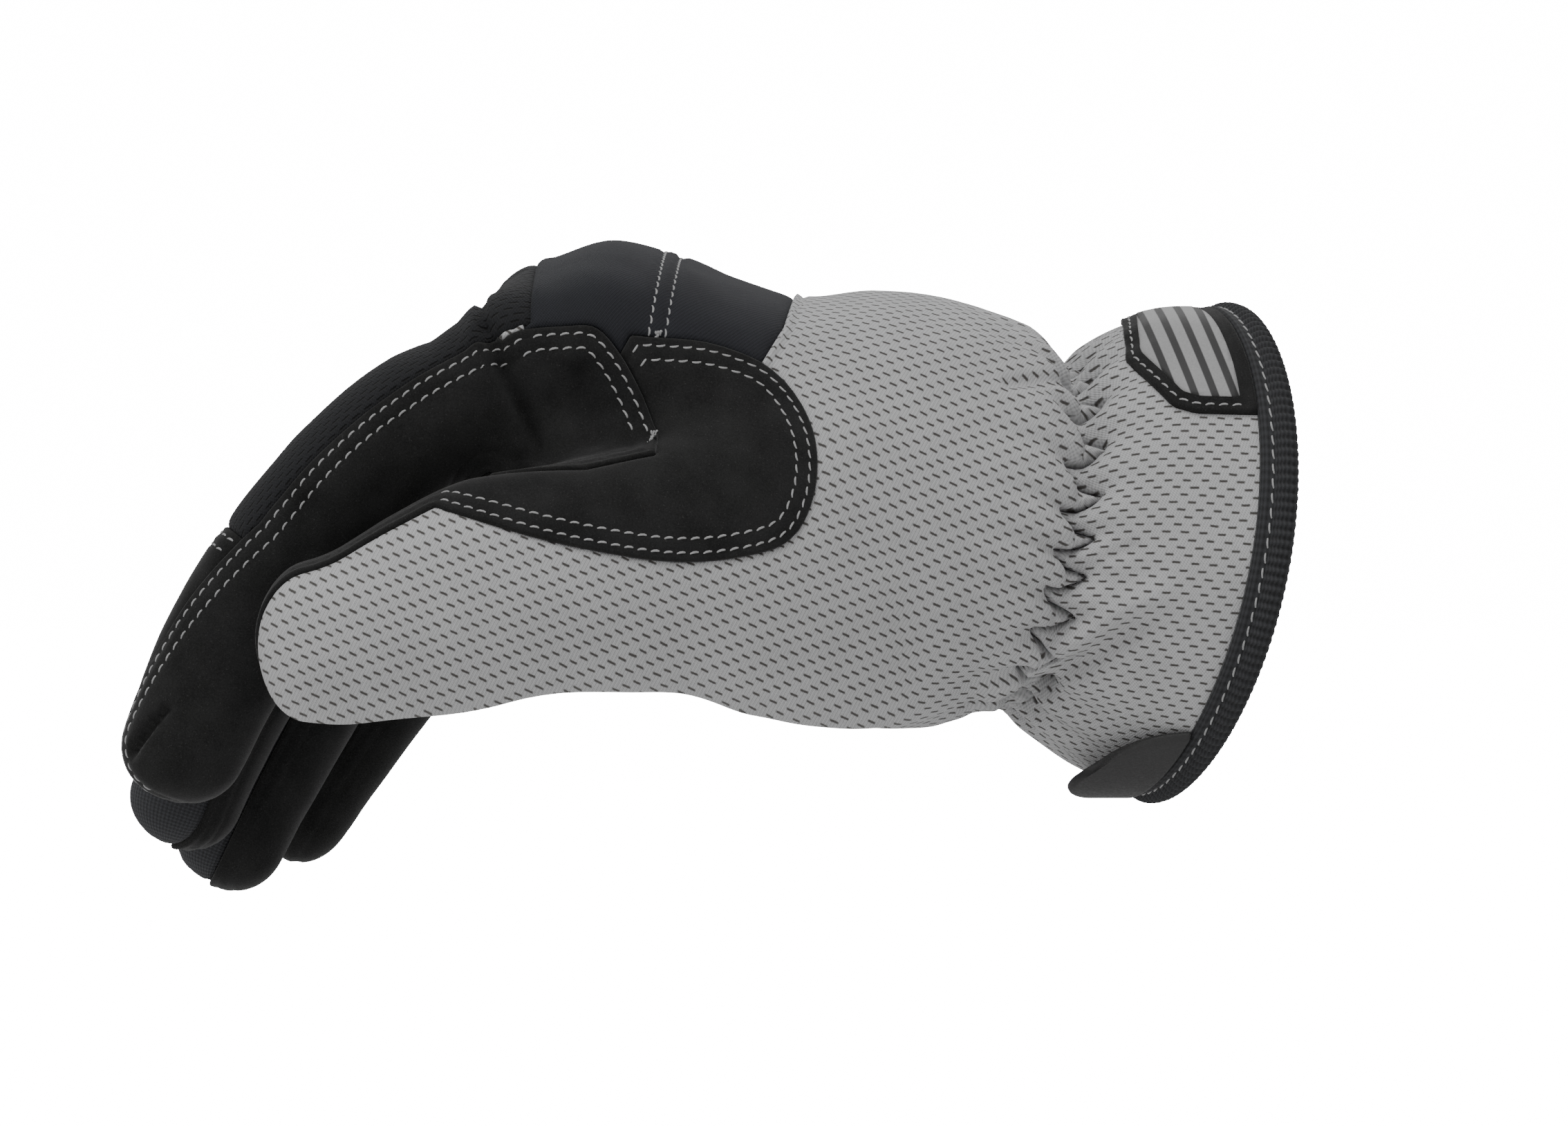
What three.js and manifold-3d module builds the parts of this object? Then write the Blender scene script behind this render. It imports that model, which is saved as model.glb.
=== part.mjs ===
// Mechanic glove for the right hand, held as an unseen relaxed hand fills it. Millimetres.
// The origin is the middle of the cuff opening. The fingers point to -X, the back of the hand faces +Z and the
// thumb is on the -Y side.
//
// A thin shell is made first: skins of the hand, thumb and fingers are lofted at two depths, joined, and the inner
// one is taken out of the outer one. Each fabric panel is the stretch of that shell inside its own cutting region.
import * as THREE from "three";
import { mergeVertices } from "three/addons/utils/BufferGeometryUtils.js";
import Module from "manifold-3d";

const wasm = await Module();
wasm.setup();

// Fabrics
const knitWall = 1.6; // open-mesh knit of the body and the finger backs
const suedeRaise = 0.6; // synthetic suede stands this much prouder than the knit
const seamGap = 0.35; // clearance left between two panels along a seam

// Cuff, from the rim to the gathered wrist
const cuffLength = 33.5;
const cuffDepth = 83.5; // rim, back to palm
const cuffWidth = 64.5; // rim, side to side
const rimLean = 0.155; // how far the rim leans forward for each millimetre towards the back of the hand
const rimBow = 2.8; // how far the rim's top and bottom stand back from its middle
const rimSwing = 0.34; // how far the rim reaches out for each millimetre towards the thumb side
const wristDepth = 60.5;
const wristWidth = 56;
const wristLean = 0.19;
const wristSwing = 0.24;
const foldCount = 22; // ruffles that the wrist elastic draws up
const foldHeight = 1.3;
const foldZigzag = 1.7; // how far the gathered line wanders along the arm
const zigzagReach = 4; // it dies away over this distance from the wrist
const wristTopShare = 0.52; // share of wristDepth that lies above the axis

// Hand, from the gathered wrist to the seam over the knuckles
const handLength = 83;
const handDepth = 76;
const handWidth = 93;
const droopStart = 0.3; // share of the half width, on the thumb side, from which the knuckles droop

// Fingers and thumb
const fingerSpacing = 23;
const fingerTipRadius = 8.5;
const thumbReach = 124; // root inside the wrist to the tip
const thumbRootShare = 0.08; // its root lies this share of handLength past the wrist
const thumbDepth = 37.5;
const thumbWidth = 30;
const thumbTipRadius = 8;
const tipFullness = 0.8; // below 1 makes the ends of fingers and thumb blunter than round

// Trim
const trimGap = 0.35; // clearance under the trim
const bindingWall = 1.1;
const bindingShare = 0.22; // the tape's width, as a share of cuffLength
const patchLength = 25.5;
const patchHeight = 18; // patch, from its lowest corner up to its highest point on the back of the wrist
const patchWall = 1.1;
const patchStart = 9; // x beyond its edge, which is cut along the binding
const patchFarEdge = 6; // y at which it ends, over the back of the wrist
const tabTip = -26.5; // x of its rounded end
const tabSpread = 27; // degrees that the tab takes up either side of the heel of the cuff
const tabWall = 1.8;
const tabTurn = 15; // degrees that the tab stands round towards the thumb side
const tabRound = 5; // how far its corners stand back from its end
const tabNarrowing = 0.8;
const patchFoot = 0.75; // height of the patch's lowest corner, as a share of the wrist's top

// Panel seams
const knuckleLength = 43; // knuckle panel, along the hand
const knuckleFront = -119; // x of the seam between the knuckle panel and the finger backs
const knuckleSkew = 0.6; // how far the knuckle panel's wrist edge leans for each millimetre of height
const saddleLength = 66;
const saddleHeight = 38.5;
const saddleEnd = -70; // x of the saddle's rounded wrist end
const saddleTop = 37;
const saddleInner = 0.29; // share of handWidth, on the thumb side, at which the saddle ends inside
const webLength = 28; // suede palm where it comes up over the web of the thumb
const webHeight = 20;
const webTop = 38.5;
const webBack = -97.5; // x of its edge over the saddle
const webNear = 0.53; // shares of handWidth, on the thumb side, between which the web suede lies
const palmSide = 0.37;
const palmFront = 1.03; // share of handLength at which the palm's own outline ends
const palmTop = 0.65; // share of saddleTop that the palm's outline reaches up to
const knuckleNear = 0.55; // share of handWidth that the knuckle panel reaches to on the thumb side
const capShare = 0.4; // the fingertip cap, as a share of the finger's length

const wristX = -cuffLength;
const rimX = -(trimGap + bindingWall); // the knit ends inside the fold of the tape, whose edge is the opening
const radians = THREE.MathUtils.degToRad;

// The cuff, blended from the gathered wrist (flare 0) to the rim (flare 1). at runs from the rim to the wrist.
const cuffRows = [
  { at: 0.0, flareTop: 1.0, flareBottom: 1.0, flareSide: 1.0, folds: 0 },
  { at: bindingShare, flareTop: 1.03, flareBottom: 0.88, flareSide: 1.04, folds: 0 },
  { at: 0.46, flareTop: 1.0, flareBottom: 0.66, flareSide: 0.98, folds: 0.25 },
  { at: 0.66, flareTop: 0.82, flareBottom: 0.42, flareSide: 0.76, folds: 0.6 },
  { at: 0.86, flareTop: 0.46, flareBottom: 0.2, flareSide: 0.4, folds: 1.0 },
  { at: 1.0, flareTop: 0.0, flareBottom: 0.0, flareSide: 0.0, folds: 1.0 },
];

// The hand, at from the wrist to the knuckles. top and bottom are shares of handDepth, near (thumb side) and far of
// handWidth, droop of handDepth. lean is a share of wristLean and wristSwing, square makes the section boxier.
const handRows = [
  { at: 0.035, top: 0.455, bottom: 0.378, near: 0.33, far: 0.315, droop: 0, lean: 1, square: 2, folds: 1.1 },
  { at: 0.09, top: 0.52, bottom: 0.392, near: 0.362, far: 0.345, droop: 0, lean: 0.85, square: 2.1, folds: 0.5 },
  { at: 0.2, top: 0.582, bottom: 0.395, near: 0.4, far: 0.39, droop: 0, lean: 0.45, square: 2.2, folds: 0.12 },
  { at: 0.34, top: 0.606, bottom: 0.33, near: 0.43, far: 0.43, droop: 0.03, lean: 0.15, square: 2.3, folds: 0 },
  { at: 0.475, top: 0.592, bottom: 0.2, near: 0.455, far: 0.465, droop: 0.06, lean: 0, square: 2.4, folds: 0 },
  { at: 0.61, top: 0.632, bottom: 0.07, near: 0.47, far: 0.49, droop: 0.1, lean: 0, square: 2.4, folds: 0 },
  { at: 0.76, top: 0.7, bottom: -0.07, near: 0.485, far: 0.5, droop: 0.14, lean: 0, square: 2.5, folds: 0 },
  { at: 0.87, top: 0.728, bottom: -0.16, near: 0.49, far: 0.5, droop: 0.17, lean: 0, square: 2.5, folds: 0 },
  { at: 0.97, top: 0.7, bottom: -0.22, near: 0.485, far: 0.49, droop: 0.19, lean: 0, square: 2.5, folds: 0 },
  { at: 1.06, top: 0.64, bottom: -0.27, near: 0.45, far: 0.455, droop: 0.19, lean: 0, square: 2.5, folds: 0 },
  { at: 1.11, top: 0.56, bottom: -0.34, near: 0.41, far: 0.41, droop: 0.18, lean: 0, square: 2.5, folds: 0 },
];

// Fingers. root gives shares of handLength, fingerSpacing and handDepth; pitches are the bend below level, from root
// to tip; near and far are the palm seams round the finger, in degrees below the side.
const fingers = [
  { name: "index", length: 121, width: 21.6, depth: 24, root: [0.79, -1.5, 0.505], splay: -2.5,
    pitches: [15, 26, 47, 62, 70], near: -34, far: 30 },
  { name: "middle", length: 127.5, width: 21.6, depth: 23.5, root: [0.8, -0.5, 0.51], splay: -0.5,
    pitches: [18, 32, 49, 64, 72], near: 30, far: 30 },
  { name: "ring", length: 124, width: 21.4, depth: 22.5, root: [0.8, 0.5, 0.46], splay: 1,
    pitches: [26, 40, 53, 62, 66], near: 4, far: 30 },
  { name: "little", length: 106, width: 20, depth: 20, root: [0.79, 1.46, 0.345], splay: 2.5,
    pitches: [33, 44, 52, 56, 60], near: 4, far: -34 },
];
const backSeam = 33; // degrees above the side at which the knit finger back ends
const fingerRows = [
  { at: 0.0, width: 0.92, depth: 0.94 },
  { at: 0.15, width: 0.98, depth: 0.98 },
  { at: 0.24, width: 1.0, depth: 1.06 },
  { at: 0.32, width: 1.0, depth: 1.0 },
  { at: 0.5, width: 1.0, depth: 1.0 },
  { at: 0.68, width: 0.96, depth: 0.96 },
  { at: 0.82, width: 0.92, depth: 0.9 },
  { at: 1.0, width: 0.84, depth: 0.78 },
];

// The thumb with its fleshy root. at runs from the root to the tip, side is a share of handWidth towards the thumb
// side, height of handDepth, width and depth of the thumb's own sizes.
const thumbRows = [
  { at: 0.0, side: 0.1, height: 0.0, width: 0.75, depth: 0.85 },
  { at: 0.04, side: 0.15, height: -0.02, width: 1.05, depth: 1.12 },
  { at: 0.12, side: 0.2, height: -0.035, width: 1.45, depth: 1.42 },
  { at: 0.22, side: 0.285, height: -0.02, width: 1.62, depth: 1.52 },
  { at: 0.33, side: 0.375, height: -0.018, width: 1.55, depth: 1.4 },
  { at: 0.425, side: 0.445, height: -0.02, width: 1.36, depth: 1.2 },
  { at: 0.5, side: 0.51, height: -0.042, width: 1.18, depth: 1.08 },
  { at: 0.6, side: 0.575, height: -0.06, width: 1.0, depth: 1.02 },
  { at: 0.72, side: 0.625, height: -0.098, width: 0.88, depth: 1.02 },
  { at: 0.82, side: 0.648, height: -0.145, width: 0.84, depth: 0.9 },
  { at: 0.9, side: 0.655, height: -0.19, width: 0.82, depth: 0.76 },
  { at: 1.0, side: 0.655, height: -0.205, width: 0.72, depth: 0.62 },
];

// Value of one column of a table at a given place, on a smooth curve through its rows.
function lookUp(rows, at, column) {
  const last = rows.length - 1;
  let i = 0;
  while (i < last - 1 && at > rows[i + 1].at) i++;
  const slope = (k) => {
    const a = Math.max(k - 1, 0);
    const b = Math.min(k + 1, last);
    return (rows[b][column] - rows[a][column]) / (rows[b].at - rows[a].at);
  };
  const span = rows[i + 1].at - rows[i].at;
  const t = THREE.MathUtils.clamp((at - rows[i].at) / span, 0, 1);
  const t2 = t * t;
  const t3 = t2 * t;
  return (
    (2 * t3 - 3 * t2 + 1) * rows[i][column] +
    (t3 - 2 * t2 + t) * span * slope(i) +
    (3 * t2 - 2 * t3) * rows[i + 1][column] +
    (t3 - t2) * span * slope(i + 1)
  );
}

// Closed solid through rings of points, each ring running the same way round. Rings may differ in their count.
function loft(rings) {
  const points = [];
  const starts = rings.map((ring) => {
    points.push(...ring);
    return points.length - ring.length;
  });
  const faces = [];
  for (let k = 0; k + 1 < rings.length; k++) {
    const [a, b] = [rings[k].length, rings[k + 1].length];
    let [i, j] = [0, 0];
    while (i < a || j < b) {
      const p = starts[k] + (i % a);
      const q = starts[k + 1] + (j % b);
      if (j === b || (i < a && (i + 1) * b <= (j + 1) * a)) faces.push(p, starts[k] + (++i % a), q);
      else faces.push(p, starts[k + 1] + (++j % b), q);
    }
  }
  for (const [k, turned] of [[0, true], [rings.length - 1, false]]) {
    const middle = new THREE.Vector3();
    rings[k].forEach((p) => middle.addScaledVector(p, 1 / rings[k].length));
    points.push(middle);
    rings[k].forEach((_, i) => {
      const edge = [starts[k] + i, starts[k] + ((i + 1) % rings[k].length)];
      faces.push(points.length - 1, ...(turned ? edge.reverse() : edge));
    });
  }
  return new THREE.BufferGeometry().setFromPoints(points).setIndex(faces);
}

// A three.js geometry as a solid for cutting and joining, facing outwards whichever way it was wound.
function solid(geometry) {
  const bare = new THREE.BufferGeometry().setAttribute("position", geometry.getAttribute("position"));
  if (geometry.index) bare.setIndex(geometry.index);
  const merged = mergeVertices(bare, 1e-4);
  const triVerts = new Uint32Array(merged.index.array);
  const vertProperties = new Float32Array(merged.attributes.position.array);
  const made = new wasm.Manifold(new wasm.Mesh({ numProp: 3, vertProperties, triVerts }));
  if (made.volume() >= 0) return made;
  for (let i = 0; i < triVerts.length; i += 3) {
    [triVerts[i + 1], triVerts[i + 2]] = [triVerts[i + 2], triVerts[i + 1]];
  }
  return new wasm.Manifold(new wasm.Mesh({ numProp: 3, vertProperties, triVerts }));
}

const join = (parts) => parts.reduce((a, b) => a.add(b));

// The largest single body of a cut solid, as a named mesh.
function panel(name, made, material) {
  const body = made.decompose().reduce((a, b) => (b.volume() > a.volume() ? b : a));
  const net = body.getMesh();
  const positions = new Float32Array(net.numVert * 3);
  for (let i = 0; i < net.numVert; i++) {
    positions.set(net.vertProperties.subarray(i * net.numProp, i * net.numProp + 3), i * 3);
  }
  const geometry = new THREE.BufferGeometry();
  geometry.setAttribute("position", new THREE.BufferAttribute(positions, 3));
  geometry.setIndex(new THREE.BufferAttribute(net.triVerts, 1));
  geometry.computeVertexNormals();
  const mesh = new THREE.Mesh(geometry, material);
  mesh.name = name;
  return mesh;
}

const power = (v, square) => Math.sign(v) * Math.abs(v) ** (2 / square);

// Sizes of the hand's section at a row, in millimetres.
function handSection(row) {
  return {
    x: wristX - row.at * handLength,
    top: row.top * handDepth,
    bottom: -row.bottom * handDepth,
    near: -row.near * handWidth,
    far: row.far * handWidth,
    lean: row.lean * wristLean,
    swing: row.lean * wristSwing,
    droop: row.droop * handDepth,
    square: row.square,
    folds: row.folds,
    bow: 0,
  };
}

const wristTop = wristDepth * wristTopShare;
const wristBottom = wristTop - wristDepth;

function cuffSection(row) {
  const mix = THREE.MathUtils.lerp;
  return {
    x: rimX - row.at * (cuffLength + rimX),
    top: mix(wristTop, cuffDepth / 2, row.flareTop),
    bottom: mix(wristBottom, -cuffDepth / 2, row.flareBottom),
    near: -mix(wristWidth, cuffWidth, row.flareSide) / 2,
    far: mix(wristWidth, cuffWidth, row.flareSide) / 2,
    lean: mix(rimLean, wristLean, row.at),
    swing: mix(rimSwing, wristSwing, row.at),
    droop: 0,
    square: 2,
    folds: row.folds,
    bow: rimBow * (1 - row.at),
  };
}

const bodySections = [...cuffRows.map(cuffSection), ...handRows.map(handSection)];
const ringPoints = 28;
const innerPoints = { body: ringPoints, finger: 8, thumb: 11 }; // the hidden inner skins are coarser
const foldPoints = foldCount * 2; // a crest and a dip each

// One ring of the hand's skin, grown outwards by offset. The angle runs from the thumb side over the back.
function bodyRing(section, offset, count) {
  const halfWidth = (section.far - section.near) / 2 + offset;
  const halfDepth = (section.top - section.bottom) / 2 + offset;
  const middleY = (section.far + section.near) / 2;
  const middleZ = (section.top + section.bottom) / 2;
  return Array.from({ length: count }, (_, i) => {
    const angle = (2 * Math.PI * i) / count;
    const wave = Math.cos(foldCount * angle) * section.folds;
    const ruffle = 1 + (wave * foldHeight) / halfDepth;
    const y = middleY - halfWidth * ruffle * power(Math.cos(angle), section.square);
    const across = THREE.MathUtils.clamp((y / halfWidth + droopStart) / (1 + droopStart), 0, 1);
    const z = middleZ + halfDepth * ruffle * power(Math.sin(angle), section.square) - section.droop * across ** 2;
    const zigzag = wave * foldZigzag * Math.exp(-Math.abs(section.x - wristX) / zigzagReach);
    const bow = section.bow * ((2 * z) / cuffDepth) ** 2;
    return new THREE.Vector3(section.x + section.lean * z - section.swing * y - bow + zigzag, y, z);
  });
}

const shifted = (ring, x) => ring.map((p) => p.clone().setX(p.x + x));

function bodySkin(offset) {
  const plain = offset < 0 ? innerPoints.body : ringPoints;
  const rings = bodySections.map((s) => bodyRing(s, offset, s.folds ? foldPoints : plain));
  rings.push(shifted(rings.pop(), -offset));
  if (offset < 0) rings.unshift(shifted(rings[0], cuffLength / 3));
  return solid(loft(rings));
}

// Frames along a finger: its centre line is stepped through the bends, so it has its true length.
const stepsAlong = 60;
function fingerPath(finger) {
  const [rootX, rootY, rootZ] = finger.root;
  const place = new THREE.Vector3(wristX - rootX * handLength, rootY * fingerSpacing, rootZ * handDepth);
  const step = finger.length / stepsAlong;
  const bends = finger.pitches.map((pitch, i) => ({ at: i / (finger.pitches.length - 1), pitch }));
  const frames = [];
  for (let k = 0; k <= stepsAlong; k++) {
    const pitch = radians(lookUp(bends, k / stepsAlong, "pitch"));
    const forward = new THREE.Vector3(-Math.cos(pitch), 0, -Math.sin(pitch));
    const up = new THREE.Vector3(forward.z, 0, -forward.x);
    frames.push({ at: k / stepsAlong, place: place.clone(), forward, up });
    place.addScaledVector(forward, step);
    place.y += finger.splay / stepsAlong;
  }
  return frames;
}

fingers.forEach((finger) => {
  finger.path = fingerPath(finger);
});

function frameAt(finger, at) {
  const k = THREE.MathUtils.clamp(Math.floor(at * stepsAlong), 0, stepsAlong - 1);
  const t = at * stepsAlong - k;
  const [a, b] = [finger.path[k], finger.path[k + 1]];
  return {
    place: a.place.clone().lerp(b.place, t),
    forward: a.forward.clone().lerp(b.forward, t).normalize(),
    up: a.up.clone().lerp(b.up, t).normalize(),
  };
}

// A point round a finger. The angle is 0 on the thumb side, 90 on the back and 180 on the far side.
function roundFinger(finger, at, angle, halfWidth, halfDepth) {
  const frame = frameAt(finger, at);
  const point = frame.place.addScaledVector(frame.up, halfDepth * Math.sin(angle));
  point.y -= halfWidth * Math.cos(angle);
  return point;
}

const fingerStations = [0, 0.15, 0.27, 0.38, 0.5, 0.62, 0.76];
const tipTurns = [0, 36, 66]; // degrees round the end of a finger or the thumb
const digitPoints = 12;

function digitRing(pointAt, count) {
  return Array.from({ length: count }, (_, i) => pointAt((2 * Math.PI * i) / count));
}

function fingerSkin(finger, offset) {
  const roundOff = (fingerTipRadius + offset) / finger.length;
  const end = 1 + offset / finger.length;
  const stations = fingerStations.map((at) => ({ at, size: 1 }));
  tipTurns.forEach((turn) => {
    const size = Math.cos(radians(turn)) ** tipFullness;
    stations.push({ at: end - roundOff * (1 - Math.sin(radians(turn))), size });
  });
  const rings = stations.map(({ at, size }) => {
    const halfWidth = ((lookUp(fingerRows, at, "width") * finger.width) / 2 + offset) * size;
    const halfDepth = ((lookUp(fingerRows, at, "depth") * finger.depth) / 2 + offset) * size;
    const count = offset < 0 ? innerPoints.finger : digitPoints;
    return digitRing((angle) => roundFinger(finger, at, angle, halfWidth, halfDepth), count);
  });
  return solid(loft(rings));
}

const thumbRootX = wristX - handLength * thumbRootShare;

// A point round the thumb, whose sections stand square to X.
function roundThumb(at, angle, halfWidth, halfDepth) {
  return new THREE.Vector3(
    thumbRootX - at * thumbReach,
    -lookUp(thumbRows, at, "side") * handWidth - halfWidth * Math.cos(angle),
    lookUp(thumbRows, at, "height") * handDepth + halfDepth * Math.sin(angle),
  );
}

const thumbPoints = 16;
function thumbSkin(offset) {
  const roundOff = (thumbTipRadius + offset) / thumbReach;
  const end = 1 + offset / thumbReach;
  const stations = thumbRows.slice(0, -1).map((row) => ({ at: row.at, size: 1 }));
  tipTurns.forEach((turn) => {
    const size = Math.cos(radians(turn)) ** tipFullness;
    stations.push({ at: end - roundOff * (1 - Math.sin(radians(turn))), size });
  });
  const rings = stations.map(({ at, size }) => {
    const halfWidth = ((lookUp(thumbRows, at, "width") * thumbWidth) / 2 + offset) * size;
    const halfDepth = ((lookUp(thumbRows, at, "depth") * thumbDepth) / 2 + offset) * size;
    const count = offset < 0 ? innerPoints.thumb : thumbPoints;
    return digitRing((angle) => roundThumb(at, angle, halfWidth, halfDepth), count);
  });
  return solid(loft(rings));
}

function skin(offset) {
  return join([bodySkin(offset), thumbSkin(offset), ...fingers.map((finger) => fingerSkin(finger, offset))]);
}

const hollow = skin(-knitWall);
const knitShell = skin(0).subtract(hollow);
const suedeShell = skin(suedeRaise).subtract(hollow);

// Cutting regions. Each takes the amount by which it is grown, so that a neighbour can be held clear of it.

const farOut = 120; // beyond the glove in every direction

const sharpestSpread = 0.5; // a grown outline's corner moves out by no more than twice the growth

// Solid over a closed outline, grown outwards in its own plane. place turns outline and depth into a point.
function prism(outline, grow, [from, to], place) {
  const points = outline.map(([a, b]) => new THREE.Vector2(a, b));
  const turned = THREE.ShapeUtils.area(points) < 0 ? points.reverse() : points;
  const count = turned.length;
  const grown = turned.map((point, i) => {
    const before = turned[(i + count - 1) % count];
    const after = turned[(i + 1) % count];
    const into = point.clone().sub(before).normalize();
    const out = after.clone().sub(point).normalize();
    const normal = new THREE.Vector2(into.y + out.y, -into.x - out.x).normalize();
    const spread = Math.max(sharpestSpread, normal.dot(new THREE.Vector2(out.y, -out.x)));
    return point.clone().addScaledVector(normal, grow / spread);
  });
  const shape = new THREE.Shape(grown);
  const geometry = new THREE.ExtrudeGeometry(shape, { depth: to - from, bevelEnabled: false });
  const position = geometry.getAttribute("position");
  for (let i = 0; i < position.count; i++) {
    const p = place(position.getX(i), position.getY(i), position.getZ(i) + from);
    position.setXYZ(i, p.x, p.y, p.z);
  }
  return solid(geometry);
}

const seenFromSide = (a, b, depth) => new THREE.Vector3(a, depth, b);
const seenFromAbove = (a, b, depth) => new THREE.Vector3(a, b, depth);

// Points on a smooth open curve through a few given ones.
function smooth(points, count) {
  const corners = points.map(([a, b]) => new THREE.Vector3(a, b, 0));
  const curve = new THREE.CatmullRomCurve3(corners, false, "centripetal");
  return curve.getSpacedPoints(count).map((p) => [p.x, p.y]);
}

// Region that follows a finger from one place to another, with a section given as [across, up] corners.
const fingerSlices = 7;
function alongFinger(finger, from, to, corners) {
  const rings = [];
  for (let k = 0; k <= fingerSlices; k++) {
    const at = from + ((to - from) * k) / fingerSlices;
    const frame = frameAt(finger, THREE.MathUtils.clamp(at, 0, 1));
    const beyond = (at - THREE.MathUtils.clamp(at, 0, 1)) * finger.length;
    rings.push(
      corners.map(([across, up]) => {
        const point = frame.place.clone().addScaledVector(frame.up, up).addScaledVector(frame.forward, beyond);
        point.y += across;
        return point;
      }),
    );
  }
  return solid(loft(rings));
}

const slope = (degrees) => Math.tan(radians(degrees));
const sideReach = fingerSpacing / 2; // half way to the next finger
const stripReach = fingerSpacing * 0.56; // a little past it, so that both sides of a strip are joined
const outerReach = fingerSpacing * 0.505; // clear of the skin on the outer sides of the hand
const palmReach = fingerSpacing * 0.585; // clear of it under the fingers

function reachOf(finger, side) {
  const outer = (side < 0 && finger.name === "index") || (side > 0 && finger.name === "little");
  return outer ? outerReach : sideReach;
}

const aboveFinger = fingerSpacing * 1.5; // clear of the skin over the fingers

const fingerStart = 0.06;
const indexPalmStart = 0.2; // up to here the index finger's palm side is part of the web
const fingerEnd = 1.06;

// The palm side of a finger, up to its two palm seams.
function fingerPalmRegion(finger, grow) {
  const start = finger.name === "index" ? indexPalmStart : fingerStart;
  const [near, far] = [reachOf(finger, -1), reachOf(finger, 1)];
  const corners = [
    [0, grow],
    [-near - grow, -near * slope(finger.near) + grow],
    [-near - grow, -palmReach],
    [far + grow, -palmReach],
    [far + grow, -far * slope(finger.far) + grow],
  ];
  return alongFinger(finger, start - grow / finger.length, fingerEnd, corners);
}

// The back of a finger between its two back seams.
function fingerBackRegion(finger, from, to, grow) {
  const [near, far] = [reachOf(finger, -1), reachOf(finger, 1)];
  const corners = [
    [0, -grow],
    [-near - grow, near * slope(backSeam) - grow],
    [-near - grow, aboveFinger],
    [far + grow, aboveFinger],
    [far + grow, far * slope(backSeam) - grow],
  ];
  return alongFinger(finger, from - grow / finger.length, to + grow / finger.length, corners);
}

// Everything on the finger side of the knuckle seam.
function beforeKnuckles(grow) {
  const front = knuckleFront + grow;
  const outline = [[front, -farOut], [front, farOut], [-3 * farOut, farOut], [-3 * farOut, -farOut]];
  return prism(outline, 0, [-farOut, farOut], seenFromSide);
}

// The strip between two fingers: the facing sides of both.
function stripRegion(first, second, grow) {
  const triangle = (side, seam) => [
    [0, 0],
    [side * stripReach, stripReach * slope(backSeam) + grow],
    [side * stripReach, -stripReach * slope(seam) - grow],
  ];
  return alongFinger(first, fingerStart, fingerEnd, triangle(1, first.far)).add(
    alongFinger(second, fingerStart, fingerEnd, triangle(-1, second.near)),
  );
}

// Outline of the palm panel seen from above. along is a share of handLength from the wrist, across of handWidth.
const palmRows = [
  { along: 0.12, across: -0.02 },
  { along: 0.24, across: -0.07 },
  { along: 0.42, across: -0.13 },
  { along: 0.62, across: -0.24 },
  { along: 0.76, across: -0.33 },
  { along: 0.86, across: -0.37 },
];
const ulnarSeam = [
  { along: 0.12, up: -0.1 },
  { along: 0.3, up: -0.02 },
  { along: 0.7, up: 0.12 },
  { along: 1.12, up: 0.28 },
];

function palmUndersideRegion(grow) {
  const seam = smooth(palmRows.map((row) => [wristX - row.along * handLength, row.across * handWidth]), 6);
  const front = wristX - palmFront * handLength;
  const outline = [...seam, [front, -palmSide * handWidth], [front, farOut], [seam[0][0], farOut]];
  const under = prism(outline, grow, [-farOut, saddleTop * palmTop], seenFromAbove);
  const side = smooth(ulnarSeam.map((row) => [wristX - row.along * handLength, row.up * handDepth]), 4);
  const [start, end] = [side[0][1], side[side.length - 1][1]];
  const lowOutline = [...side, [-2 * farOut, end], [-2 * farOut, -farOut], [farOut, -farOut], [farOut, start]];
  const low = prism(lowOutline, grow, [0, farOut], seenFromSide);
  const nearOutline = [[farOut, 1], [-2 * farOut, 1], [-2 * farOut, -farOut], [farOut, -farOut]];
  const nearHalf = prism(nearOutline, 0, [-farOut, farOut], seenFromAbove);
  return under.intersect(low.add(nearHalf));
}

// The palm suede that comes up over the web, seen from the thumb side. Shares of webLength and webHeight.
const webRows = [
  { along: 1.0, up: 0.8 },
  { along: 0.8, up: 0.96 },
  { along: 0.55, up: 1.0 },
  { along: 0.37, up: 0.99 },
  { along: 0.22, up: 0.76 },
  { along: 0.1, up: 0.45 },
  { along: 0.0, up: 0.1 },
];
function webRegion(grow) {
  const place = (row) => [webBack - row.along * webLength, webTop - (1 - row.up) * webHeight];
  const edge = smooth(webRows.map(place), 8);
  const low = webTop - webHeight;
  const outline = [...edge, [webBack, low], [webBack - webLength, low]];
  return prism(outline, grow, [-handWidth * webNear, -handWidth * palmSide], seenFromSide);
}

function palmRegion(grow) {
  return join([palmUndersideRegion(grow), webRegion(grow), ...fingers.map((f) => fingerPalmRegion(f, grow))]);
}

// The suede that covers the thumb's front and lies over the web, seen from the thumb side.
const saddleRows = [
  { along: 0.48, up: 1.0 },
  { along: 0.28, up: 0.96 },
  { along: 0.11, up: 0.83 },
  { along: 0.02, up: 0.6 },
  { along: 0.01, up: 0.32 },
  { along: 0.07, up: 0.1 },
  { along: 0.2, up: 0.02 },
  { along: 0.38, up: 0.0 },
  { along: 0.6, up: 0.06 },
  { along: 0.8, up: 0.15 },
  { along: 1.0, up: 0.26 },
];
function saddleRegion(grow) {
  const place = (row) => [saddleEnd - row.along * saddleLength, saddleTop - (1 - row.up) * saddleHeight];
  const edge = smooth(saddleRows.map(place), 14);
  const shoulder = saddleTop - saddleHeight / 2;
  const outline = [...edge, [saddleEnd - saddleLength, shoulder], [edge[0][0] - saddleLength / 6, shoulder]];
  return prism(outline, grow, [-farOut, -handWidth * saddleInner], seenFromSide);
}

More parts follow.
